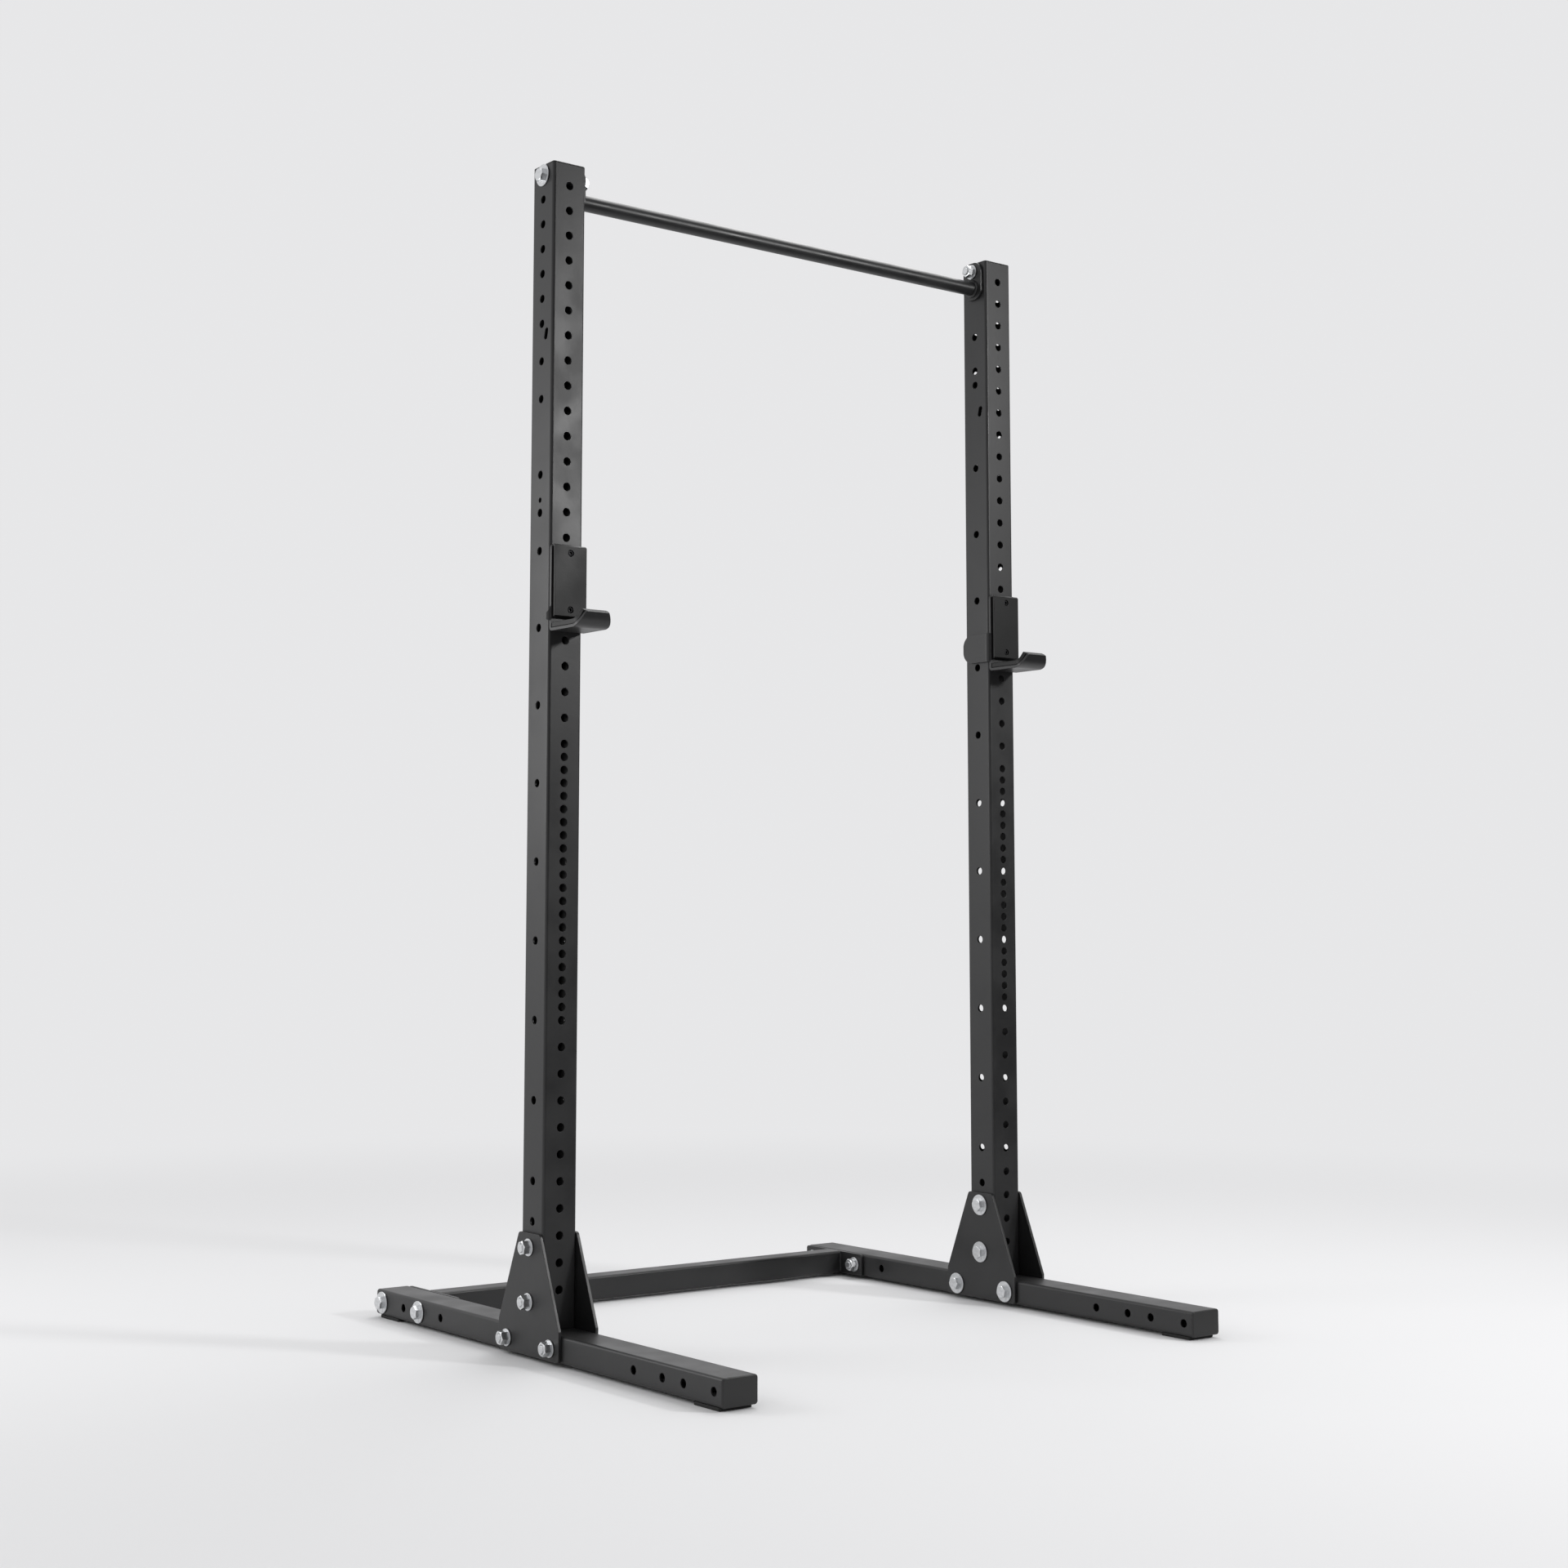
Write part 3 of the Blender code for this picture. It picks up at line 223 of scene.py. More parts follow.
def make_wear_group():
    tree, given, result = start_group("Dust and marks", {"Mark length": 0.030}, ("Dust", "Marks"))
    normal = add_node(tree, "NewGeometry").outputs["Normal"]
    upward = add_node(tree, "SeparateXYZ", {"Vector": normal}).outputs["Z"]
    facing_up = scaled(tree, upward, DUST_LIES_FROM, 1.0)
    patches = scaled(tree, noise_of(tree, DUST_PATCH, 6.0), *DUST_LIMITS)
    lines = [scaled(tree, noise_of(tree, given["Mark length"], 5.0, squeeze), *limits)
             for squeeze, *limits in (LEVEL_LINES, UPRIGHT_LINES)]
    fill(tree, result, {"Dust": sum_up(tree, "MULTIPLY", facing_up, patches),
                        "Marks": sum_up(tree, "MAXIMUM", *lines)})
    return tree


wear_group = make_wear_group()
print("group made:", wear_group.name)

# %% [markdown]
# ## The finishes
# Every finish is built the same way: a base colour that patches, dust and rubbed edges lighten, a
# roughness that the same masks change, and a bump from the skin. The steps differ only in numbers,
# so one function makes the material from them.

# %% One function for a worn finish
DUST_COLOUR = (0.30, 0.29, 0.28)
DUST_ROUGHENS = 0.8
RUBBING_SMOOTHS = 0.08
PATCHES_ROUGHEN = 0.05


def make_finish(name, colour, patch_colour, edge_colour, roughness, lump_size, bump, edge_width,
                dust_amount, mark_amount, metallic=0.0, patch_size=0.09, specular=0.5):
    material = bpy.data.materials.new(name)
    material.use_nodes = True
    tree = material.node_tree
    sizes = {"Lump size": lump_size, "Patch size": patch_size}
    skin = add_node(tree, "Group", sizes, node_tree=skin_group).outputs
    edge = add_node(tree, "Group", {"Width": edge_width}, node_tree=edge_group)
    wear = add_node(tree, "Group", node_tree=wear_group).outputs
    rubbed = edge.outputs["Mask"]
    dust = sum_up(tree, "MULTIPLY", wear["Dust"], dust_amount)
    marks = sum_up(tree, "MULTIPLY", wear["Marks"], mark_amount)
    below = (*colour, 1.0)
    masks = (skin["Patches"], marks, dust, rubbed)
    for mask, layer in zip(masks, (patch_colour, edge_colour, DUST_COLOUR, edge_colour)):
        inputs = {"Factor": mask, "A": below, "B": (*layer, 1.0)}
        below = add_node(tree, "Mix", inputs, data_type="RGBA").outputs["Result"]
    spread = (roughness - PATCHES_ROUGHEN, roughness + PATCHES_ROUGHEN)
    rough = scaled(tree, skin["Patches"], 0.0, 1.0, *spread)
    rough = sum_up(tree, "ADD", rough, sum_up(tree, "MULTIPLY", dust, DUST_ROUGHENS))
    rough = sum_up(tree, "SUBTRACT", rough, sum_up(tree, "MULTIPLY", rubbed, RUBBING_SMOOTHS))
    inputs = {"Strength": 1.0, "Distance": bump, "Height": skin["Height"]}
    relief = add_node(tree, "Bump", inputs)
    fill(tree, tree.nodes["Principled BSDF"], {
        "Metallic": metallic, "Specular IOR Level": specular, "Base Color": below,
        "Roughness": rough, "Normal": relief.outputs["Normal"]})
    return material


# %% [markdown]
# The powder coat is a fine-textured satin black. The cups have the same powder with more rubbing
# from the bar. The fasteners are bright zinc, uneven from plating, apart from the pads' blackened
# screws. The caps are moulded plastic with a matt stipple, the cups' pads are cut from a denser,
# smoother plastic, and the foot pads are dull rubber.

# %% The seven finishes
POWDER = ((0.012, 0.012, 0.0125), (0.016, 0.016, 0.0165))


def greys(*values):
    return [(value, value, value) for value in values]


finishes = {
    "frame_coat": make_finish(
        "Satin black powder coat", *POWDER, (0.050, 0.050, 0.052), roughness=0.40,
        lump_size=0.0013, bump=0.00004, edge_width=0.0010, dust_amount=0.02, mark_amount=0.10),
    "cup_coat": make_finish(
        "Cup powder coat", *POWDER, (0.070, 0.070, 0.072), roughness=0.40,
        lump_size=0.0012, bump=0.00004, edge_width=0.0012, dust_amount=0.02, mark_amount=0.25),
    "fastener_zinc": make_finish(
        "Bright zinc", (0.72, 0.73, 0.74), (0.60, 0.61, 0.62), (0.86, 0.87, 0.88), roughness=0.34,
        lump_size=0.0007, bump=0.00002, edge_width=0.0006, dust_amount=0.10, mark_amount=0.35,
        metallic=1.0, patch_size=0.006),
    "cap_plastic": make_finish(
        "Moulded cap plastic", *greys(0.011, 0.015, 0.035), roughness=0.43,
        lump_size=0.0008, bump=0.00005, edge_width=0.0006, dust_amount=0.04, mark_amount=0.12),
    "pad_plastic": make_finish(
        "Dense pad plastic", *greys(0.005, 0.008, 0.040), roughness=0.42,
        lump_size=0.0030, bump=0.00005, edge_width=0.0008, dust_amount=0.02, mark_amount=0.18,
        specular=0.27),
    "screw_oxide": make_finish(
        "Blackened screw steel", (0.024, 0.024, 0.025), (0.018, 0.018, 0.019),
        (0.080, 0.080, 0.080), roughness=0.46, lump_size=0.0006, bump=0.00002,
        edge_width=0.0004, dust_amount=0.05, mark_amount=0.20, metallic=1.0, patch_size=0.005),
    "foot_rubber": make_finish(
        "Foot rubber", (0.012, 0.012, 0.012), (0.017, 0.017, 0.017), (0.030, 0.030, 0.029),
        roughness=0.82, lump_size=0.0010, bump=0.00008, edge_width=0.0008, dust_amount=0.30,
        mark_amount=0.05),
}
print("finishes:", ", ".join(finish.name for finish in finishes.values()))

# %% [markdown]
# ## Mesh helpers
# Nearly every piece of a rack is an outline carried along a line: tube, plate, cap, bolt. So the
# main tool is a loft, which joins outlines of the same point count. It gives clean quads and full
# control of each edge's rounding. Only holes are cut with a Boolean. Outlines are drawn on a plane
# that faces one of the rack's sides, and heights rise out of it.

# %% Outlines, planes and lofts
HERE = Matrix()


def around(sides):
    """The angles of evenly spaced points on a circle."""
    return [2 * math.pi * index / sides for index in range(sides)]


def polar(radius, turn):
    return radius * math.cos(turn), radius * math.sin(turn)


def circle(radius, sides=32):
    return [polar(radius, turn) for turn in around(sides)]


def hexagon(across_flats, sides=48):
    """A hexagon given by many points, so that it lofts to a circle."""
    return [polar(across_flats / 2 / math.cos(turn % (math.pi / 3) - math.pi / 6), turn)
            for turn in around(sides)]


def rounded_rectangle(width, depth, radius, steps=6):
    points = []
    for quarter, (across, along) in enumerate(((1, 1), (-1, 1), (-1, -1), (1, -1))):
        x = across * (width / 2 - radius)
        y = along * (depth / 2 - radius)
        for step in range(steps + 1):
            turn = (quarter + step / steps) * math.pi / 2
            points.append((x + radius * math.cos(turn), y + radius * math.sin(turn)))
    return points


def plane(origin, right, up):
    """A drawing plane: outlines are drawn to the right and up, and heights rise out of it."""
    right = Vector(right).normalized()
    up = Vector(up).normalized()
    turn = Matrix((right, up, right.cross(up))).transposed().to_4x4()
    return Matrix.Translation(origin) @ turn


def side_plane(origin, face=1.0):
    """Faces the rack's right side, or its left side where face is -1."""
    return plane(origin, (0, face, 0), (0, 0, 1))


def front_plane(origin, face=1.0):
    """Faces the front, or the rear where face is -1."""
    return plane(origin, (face, 0, 0), (0, 0, 1))


def top_plane(origin):
    return plane(origin, (1, 0, 0), (0, 1, 0))


def lay(outline, place=HERE, height=0.0):
    return [place @ Vector((point[0], point[1], height)) for point in outline]


def loft(rings, closed=False):
    """Joins the rings one to the next. The ends get a face each, or meet in a closed loft."""
    bm = bmesh.new()
    rows = [[bm.verts.new(point) for point in ring] for ring in rings]
    pairs = list(zip(rows, rows[1:]))
    if closed:
        pairs.append((rows[-1], rows[0]))
    for first, second in pairs:
        for index in range(len(first)):
            after = (index + 1) % len(first)
            bm.faces.new((first[index], first[after], second[after], second[index]))
    if not closed:
        bm.faces.new(rows[0][::-1])
        bm.faces.new(rows[-1])
    bmesh.ops.recalc_face_normals(bm, faces=bm.faces)
    return bm


def turned(stations, place=HERE, sides=32, closed=False):
    """A loft of circles, each given by its height and radius."""
    return loft([lay(circle(radius, sides), place, height) for height, radius in stations], closed)


def squared(width, depth, radius, stations, place, closed=False):
    """A loft of rounded rectangles, each given by its height and how far its outline shrinks."""
    rings = []
    for height, shrink in stations:
        outline = rounded_rectangle(width - 2 * shrink, depth - 2 * shrink, radius - shrink)
        rings.append(lay(outline, place, height))
    return loft(rings, closed)


def together(parts):
    """Several closed shapes as one mesh."""
    whole = bmesh.new()
    for part in parts:
        carrier = bpy.data.meshes.new("carrier")
        part.to_mesh(carrier)
        part.free()
        whole.from_mesh(carrier)
        bpy.data.meshes.remove(carrier)
    return whole


# %% [markdown]
# ### Cutting and keeping
# A hole punched in steel has a slightly rounded mouth that catches the light. The tools therefore
# widen where they leave the wall, so the cut makes the hole and its mouth at once. Afterwards the
# normals are weighted by face area, which keeps flat faces flat beside their rounded edges.

# %% Cutting tools and the function that keeps a piece
MOUTH = 0.0005


def add_object(name, data):
    thing = bpy.data.objects.new(name, data)
    bpy.context.scene.collection.objects.link(thing)
    return thing


def combine(solid, operation, *tools):
    """Applies one Boolean after the other to a solid. The solid and the tools are used up."""
    helpers = []
    for shape in (solid, *tools):
        mesh = bpy.data.meshes.new("helper")
        shape.to_mesh(mesh)
        shape.free()
        helpers.append(add_object("helper", mesh))
    for tool in helpers[1:]:
        step = helpers[0].modifiers.new("step", "BOOLEAN")
        step.operation = operation
        step.solver = "EXACT"
        step.object = tool
    bpy.context.view_layer.update()
    result = bmesh.new()
    result.from_mesh(helpers[0].evaluated_get(bpy.context.evaluated_depsgraph_get()).to_mesh())
    for helper in helpers:
        mesh = helper.data
        bpy.data.objects.remove(helper)
        bpy.data.meshes.remove(mesh)
    return result


def through(half):
    """Heights and widenings of a tool that goes through both walls of a tube, or a plate."""
    return ((-half - MOUTH, 2 * MOUTH), (-half + MOUTH, 0.0),
            (half - MOUTH, 0.0), (half + MOUTH, 2 * MOUTH))


THROUGH_TUBE = through(TUBE_HALF)
THROUGH_PLATE = through(PLATE / 2)
ONE_WALL = ((TUBE_HALF - 2 * TUBE_WALL, 0.0), (TUBE_HALF - MOUTH, 0.0),
            (TUBE_HALF + MOUTH, 2 * MOUTH))


def drill(place, stations=THROUGH_TUBE, diameter=HOLE_DIAMETER):
    return turned([(height, diameter / 2 + wider) for height, wider in stations], place)


def finished_mesh(name, bm, slot, sharp_degrees=50.0):
    mesh = bpy.data.meshes.new(name)
    bm.to_mesh(mesh)
    bm.free()
    mesh.shade_smooth()
    mesh.set_sharp_from_angle(angle=math.radians(sharp_degrees))
    mesh.materials.append(finishes[slot])
    return mesh


def keep(name, shape, slot, node, place=HERE):
    """Makes the piece that stands for a CAD node: its mesh, finish, body and material slot."""
    ready = isinstance(shape, bpy.types.Mesh)
    piece = add_object(name, shape if ready else finished_mesh(name, shape, slot))
    piece.matrix_world = place
    normals = piece.modifiers.new("Flat faces stay flat", "WEIGHTED_NORMAL")
    normals.keep_sharp = True
    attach(piece, body_of_node[node])
    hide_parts(node)


# %% [markdown]
# ## The uprights
# Each upright is a 3 in square tube. Its front face has holes 2 in apart, 1 in apart in the zone
# for pressing and 2 in apart again below it. The side faces have other rows: a close row at the top
# of the outer face, then holes 6 in apart through both. A slanted slot sits below the close row.
# The tube is a loft of its outer and inner outline, closed into a wall. The rows are cut in two
# goes, front and side, because tools of one go must not cross.

# %% Tube and hole rows
TUBE_EASE = 0.0004


def tube(width, depth, place, start, end):
    """A hollow tube with rounded corners from start to end along the plane's height."""
    stations = ((start, TUBE_EASE), (start + TUBE_EASE, 0.0), (end - TUBE_EASE, 0.0),
                (end, TUBE_EASE), (end, TUBE_WALL), (start, TUBE_WALL))
    return squared(width, depth, TUBE_CORNER, stations, place, closed=True)


def row(start, step, count):
    """How far the holes of a row lie below the first hole. Start and step are in inches."""
    return [(start + step * index) * INCH for index in range(count)]


front_drops = row(0.0, 2.0, 22) + row(44.0, 1.0, 22) + row(67.0, 2.0, 10)
through_drops = [5.0 * INCH, 80.0 * INCH] + row(17.0, 6.0, 11)
outer_drops = [drop * INCH for drop in (1.0, 3.0, 7.0, 9.0, 11.0, 14.0, 26.0)]
inner_drops = [drop * INCH for drop in (8.1, 9.4)]
print("front holes:", len(front_drops), "side holes:", len(through_drops), "through,",
      len(outer_drops), "outer only")


# %% The slot tool
SLOT_DROP = 11.9 * INCH
SLOT_FORWARD = 0.62 * INCH
SLOT_WIDTH = 0.45 * INCH
SLOT_LENGTH = 0.95 * INCH
SLOT_TILT = math.radians(14.0)
SMALL_HOLE_DROP = 25.0 * INCH
SMALL_HOLE = 0.40 * INCH


def slot_tool(x, face):
    """A slanted slot through the wall that faces this way along X."""
    lean = Matrix.Rotation(SLOT_TILT, 3, "X")
    origin = (x, -SLOT_FORWARD, first_hole - SLOT_DROP)
    place = plane(origin, lean @ Vector((0, face, 0)), lean @ Vector((0, 0, 1)))
    rings = []
    for height, wider in ONE_WALL:
        size = (SLOT_WIDTH + 2 * wider, SLOT_LENGTH + 2 * wider)
        rings.append(lay(rounded_rectangle(*size, SLOT_WIDTH / 2 + wider * 0.99), place, height))
    return loft(rings)


# %% Both uprights
def make_upright(name, side):
    x = upright_x[name]
    low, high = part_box(f"{name}_upright")
    body = tube(TUBE_SIDE, TUBE_SIDE, top_plane((x, 0, 0)), low.z, high.z)
    front = [drill(front_plane((x, 0, first_hole - drop))) for drop in front_drops]
    heights = [first_hole - drop for drop in through_drops]
    for bolt in ("pull_up_bar", "gusset_upper", "gusset_lower"):
        heights.append(middle(f"{name}_{bolt}_bolt").z)
    sides = [drill(side_plane((x, 0, height))) for height in heights]
    for face, drops in ((side, outer_drops), (-side, inner_drops)):
        for drop in drops:
            sides.append(drill(side_plane((x, 0, first_hole - drop), face), ONE_WALL))
        sides.append(slot_tool(x, face))
    small = side_plane((x, 0, first_hole - SMALL_HOLE_DROP), side)
    sides.append(drill(small, ONE_WALL, SMALL_HOLE))
    body = combine(body, "DIFFERENCE", together(front), together(sides))
    print(f"{name} upright:", len(body.faces), "faces")
    keep(f"{name}_upright_tube", body, "frame_coat", f"{name}_upright")


for side_name, side in SIDES.items():
    make_upright(side_name, side)

# %% [markdown]
# ## The feet
# Each foot is a 3 x 2 in tube, 48 in long, with holes through its sides: four near each end and two
# under the upright for the gussets' bolts. It is the same tube loft, laid down.

# %% Both feet
FOOT_END_DROPS = (1.0, 4.5, 7.0, 10.5)
FOOT_MIDDLE_HOLE = 3.0 * INCH


def make_foot(name):
    x = upright_x[name]
    low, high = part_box(f"{name}_foot")
    lying = front_plane((x, 0, foot_middle))
    body = tube(TUBE_SIDE, high.z - low.z, lying, low.y, high.y)
    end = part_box(f"{name}_foot_rear_cap")[1].y
    places = [end - drop * INCH for drop in FOOT_END_DROPS]
    places += [-place for place in places] + [FOOT_MIDDLE_HOLE, -FOOT_MIDDLE_HOLE]
    tools = together(drill(side_plane((x, y, foot_middle))) for y in places)
    keep(f"{name}_foot_tube", combine(body, "DIFFERENCE", tools), "frame_coat", f"{name}_foot")


for side_name in SIDES:
    make_foot(side_name)

# %% [markdown]
# ## Plastic caps
# A cap closes each open tube end: a thin flange over the wall, and a plug that grips inside. It is
# one loft from the plug's tip to the rounded rim of the flange.

# %% Caps on uprights and feet
CAP_FLANGE = 0.0030
CAP_PLUG = 0.0100
CAP_EASE = 0.0002
CAP_RIM = 0.0027
CAP_RIM_STEPS = 4
CAP_INSIDE = TUBE_WALL + 0.0004


def make_cap(name, kind, depth, place):
    stations = [(-CAP_PLUG, CAP_INSIDE + 0.0008), (-CAP_PLUG + 0.0012, CAP_INSIDE),
                (0.0, CAP_INSIDE), (0.0, CAP_EASE), (CAP_EASE, 0.0)]
    for step in range(CAP_RIM_STEPS + 1):
        turn = step / CAP_RIM_STEPS * math.pi / 2
        rise = CAP_FLANGE - CAP_RIM * (1 - math.sin(turn))
        stations.append((rise, CAP_RIM * (1 - math.cos(turn))))
    body = squared(TUBE_SIDE, depth, TUBE_CORNER, stations, place)
    keep(f"{name}_{kind}_end_cap", body, "cap_plastic", f"{name}_{kind}_cap")


for side_name, x in upright_x.items():
    make_cap(side_name, "upright", TUBE_SIDE, top_plane((x, 0, rack_top - CAP_FLANGE)))
    for end_name, end in ENDS.items():
        low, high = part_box(f"{side_name}_foot_{end_name}_cap")
        y = (high.y if end > 0 else low.y) - end * CAP_FLANGE
        place = front_plane((x, y, foot_middle), -end)
        make_cap(side_name, f"foot_{end_name}", high.z - low.z, place)

# %% [markdown]
# ## Rubber under the feet
# Short rubber blocks keep the steel off the floor near the ends of each foot. Their lower rim is
# rounded, and a shallow groove runs round the side where the mould parted.

# %% Foot pads
FOOT_PAD_CORNER = 0.004
FOOT_PAD_EASE = 0.0006


def make_foot_pad(name, end_name):
    node = f"{name}_foot_{end_name}_pad"
    low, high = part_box(node)
    centre = middle(node)
    tall = high.z - low.z
    stations = (
        (0.0, 0.0012), (0.0004, 0.0004), (0.0012, 0.0), (tall * 0.46, 0.0), (tall * 0.5, 0.0003),
        (tall * 0.54, 0.0), (tall - FOOT_PAD_EASE, 0.0), (tall, FOOT_PAD_EASE),
    )
    place = top_plane((centre.x, centre.y, low.z))
    body = squared(high.x - low.x, high.y - low.y, FOOT_PAD_CORNER, stations, place)
    keep(f"{name}_foot_{end_name}_rubber", body, "foot_rubber", node)


for side_name in SIDES:
    for end_name in ENDS:
        make_foot_pad(side_name, end_name)

# %% [markdown]
# ## Plates
# Gussets and flanges are laser-cut plate a quarter inch thick. The outline is drawn with its
# corners rounded, then lofted through the thickness with both edges slightly broken. Unlike with a
# Bevel modifier, the edge is as wide on every plate.

# %% Rounded outlines and plates
EDGE = 0.0007


def rounded_corners(points, radius, steps=6):
    """A polygon, drawn anticlockwise, with every corner replaced by an arc."""
    result = []
    count = len(points)
    for index, corner in enumerate(points):
        corner = Vector(corner)
        back = (Vector(points[index - 1]) - corner).normalized()
        ahead = (Vector(points[(index + 1) % count]) - corner).normalized()
        half_angle = math.acos(max(-1.0, min(1.0, back.dot(ahead)))) / 2
        run = radius / math.tan(half_angle)
        centre = corner + (back + ahead).normalized() * radius / math.sin(half_angle)
        first = corner + back * run - centre
        sweep = first.angle_signed(corner + ahead * run - centre)
        for step in range(steps + 1):
            result.append(centre + Matrix.Rotation(-sweep * step / steps, 2) @ first)
    return result


def shrunk(outline, distance):
    """The outline moved inwards, each point along the normal of its two edges."""
    result = []
    count = len(outline)
    for index, point in enumerate(outline):
        point = Vector(point[:2])
        back = (point - Vector(outline[index - 1][:2])).normalized()
        ahead = (Vector(outline[(index + 1) % count][:2]) - point).normalized()
        inward = Vector((-back.y - ahead.y, back.x + ahead.x)).normalized()
        slant = max(0.3, inward.dot(Vector((-back.y, back.x))))
        result.append(point + inward * distance / slant)
    return result


def bored_plate(outline, origin, face, spots):
    """A plate that rises along X from its origin, with a hole at each (y, z) of the spots."""
    soft = EDGE * 0.3
    stations = (
        (0.0, EDGE), (soft, soft), (EDGE, 0.0),
        (PLATE - EDGE, 0.0), (PLATE - soft, soft), (PLATE, EDGE),
    )
    place = side_plane(origin, face)
    body = loft([lay(shrunk(outline, shrink), place, height) for height, shrink in stations])
    centre_x = origin[0] + face * PLATE / 2
    tools = together(drill(side_plane((centre_x, y, z)), THROUGH_PLATE) for y, z in spots)
    return combine(body, "DIFFERENCE", tools)


# %% [markdown]
# ## Gusset plates
# One gusset lies on each side of a foot and its upright. The bolts through them hold the upright
# up, so the four holes line up with the tubes' holes. Wide at the foot, narrow at the upright, with
# rounded corners.

# %% Four gussets
GUSSET_CORNER = 0.0085
GUSSET_TOP_HALF = 1.45 * INCH
GUSSET_SHOULDER = 0.3 * INCH


def make_gusset(name, face_name, face):
    node = f"{name}_{face_name}_gusset"
    low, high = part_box(node)
    shoulder = foot_top + GUSSET_SHOULDER
    points = [
        (-high.y, low.z), (high.y, low.z), (high.y, shoulder),
        (GUSSET_TOP_HALF, high.z), (-GUSSET_TOP_HALF, high.z), (-high.y, shoulder),
    ]
    spots = [middle(f"{name}_gusset_{bolt}_bolt").yz for bolt in (*LEVELS, *ENDS)]
    origin = (low.x if face > 0 else high.x, 0, 0)
    body = bored_plate(rounded_corners(points, GUSSET_CORNER), origin, face, spots)
    keep(f"{node}_plate", body, "frame_coat", node)


for side_name, side in SIDES.items():
    for face_name, face in (("inner", -side), ("outer", side)):
        make_gusset(side_name, face_name, face)

# %% [markdown]
# ## Weld beads
# Where a tube meets a plate, a fillet of weld runs round the joint. Under powder coat it still
# shows its ripples, one for each drop of metal. It is a round section swept along the joint, whose
# radius grows over each ripple and falls back, so that the bumps are in the mesh.

# %% The bead
RIPPLE = 0.0028
RIPPLE_START = 0.90
RIPPLE_GROWTH = 0.16


def weld_bead(line, out, radius):
    """Sweeps a bead along a closed line of points. Out is where the plate faces."""
    out = Vector(out).normalized()
    rings = []
    walked = 0.0
    for index, point in enumerate(line):
        following = line[(index + 1) % len(line)]
        aside = (following - line[index - 1]).normalized().cross(out).normalized()
        size = radius * (RIPPLE_START + RIPPLE_GROWTH * (walked / RIPPLE % 1.0))
        rings.append([point + size * (x * out + y * aside) for x, y in circle(1.0, 10)])
        walked += (following - point).length
    return loft(rings, closed=True)


def evenly(line, spacing):
    """The closed line with points at an even spacing."""
    result = []
    for index, point in enumerate(line):
        step = line[(index + 1) % len(line)] - point
        parts = max(1, round(step.length / spacing))
        result += [point + step * part / parts for part in range(parts)]
    return result


# %% [markdown]
# ## The rear crossmember and the pull-up bar
# Both are welded from a tube and two flanges. The crossmember is a 2 in square tube whose flanges
# are bolted to the feet's inner sides. The bar is a round tube, and its flanges have round ends and
# lie against the uprights. One function welds the ends of both.

# %% Crossmember and bar
SUNK = 0.0005
CROSS_SIDE = 2.0 * INCH
CROSS_CORNER = 0.006
CROSS_LINE_IN = 0.004
CROSS_BEAD = 0.0019
BAR_RADIUS = 1.25 * INCH / 2
BAR_DROP = 1.55 * INCH
BAR_FLANGE_CORNER = 0.9 * INCH
BAR_BEAD = 0.0042
BAR_BEAD_OUT = 0.0008


def keep_weldment(node, body, axis, flange, y, z, spots, joint, bead, out=0.0):
    """The tube with a flange centred on (y, z) and a bead along the joint at each end."""
    parts = [body]
    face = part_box(node)[1].x
    for end in SIDES.values():
        parts.append(bored_plate(flange, (end * face, y, z), -end, spots))
        line = evenly(lay(joint, axis, end * (face - PLATE - out)), RIPPLE / 6)
        parts.append(weld_bead(line, (-end, 0, 0), bead))
    keep(f"{node}_weldment", together(parts), "frame_coat", node)


def make_crossmember(node="rear_crossmember"):
    low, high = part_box(node)
    bolt_y = [middle(f"left_crossmember_{end}_bolt").y for end in ENDS]
    axis = side_plane((0, sum(bolt_y) / 2, foot_middle))
    body = tube(CROSS_SIDE, CROSS_SIDE, axis, low.x + PLATE - SUNK, high.x - PLATE + SUNK)
    flange = rounded_rectangle(high.y - low.y, CROSS_SIDE - 4 * GAP, CROSS_CORNER)
    joint = rounded_rectangle(CROSS_SIDE, CROSS_SIDE - CROSS_LINE_IN, CROSS_CORNER)
    spots = [(y, foot_middle) for y in bolt_y]
    keep_weldment(node, body, axis, flange, (low.y + high.y) / 2, foot_middle, spots, joint,
                  CROSS_BEAD)


def make_bar(node="pull_up_bar"):
    low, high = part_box(node)
    bolt_height = middle("left_pull_up_bar_bolt").z
    axis = side_plane((0, 0, bolt_height - BAR_DROP))
    reach = high.x - PLATE + SUNK
    inside = BAR_RADIUS - TUBE_WALL
    wall = ((-reach, BAR_RADIUS), (reach, BAR_RADIUS), (reach, inside), (-reach, inside))
    flange = rounded_rectangle(high.y - low.y, high.z - low.z, BAR_FLANGE_CORNER, 12)
    keep_weldment(node, turned(wall, axis, 64, closed=True), axis, flange, 0, (low.z + high.z) / 2,
                  [(0, bolt_height)], circle(BAR_RADIUS + BAR_BEAD_OUT, 220), BAR_BEAD,
                  BAR_BEAD_OUT)


make_crossmember()
make_bar()

# %% [markdown]
# ## The bar cups
# A cup's steel is cut from one plate and bent: down the upright's face, forward into the shelf and
# up into the curled lip. A long ear hugs the inner side of the tube and a short tab the outer side.
# A bent plate is a flat section swept along its fold line, so one function makes all three, with
# the width free to change along the way for the rounded corners.

# %% A bent strip
BEND_STEP = math.radians(6.0)
STRIP_EDGE = 0.0008


def ahead_at(heading):
    return Vector(polar(1.0, heading))


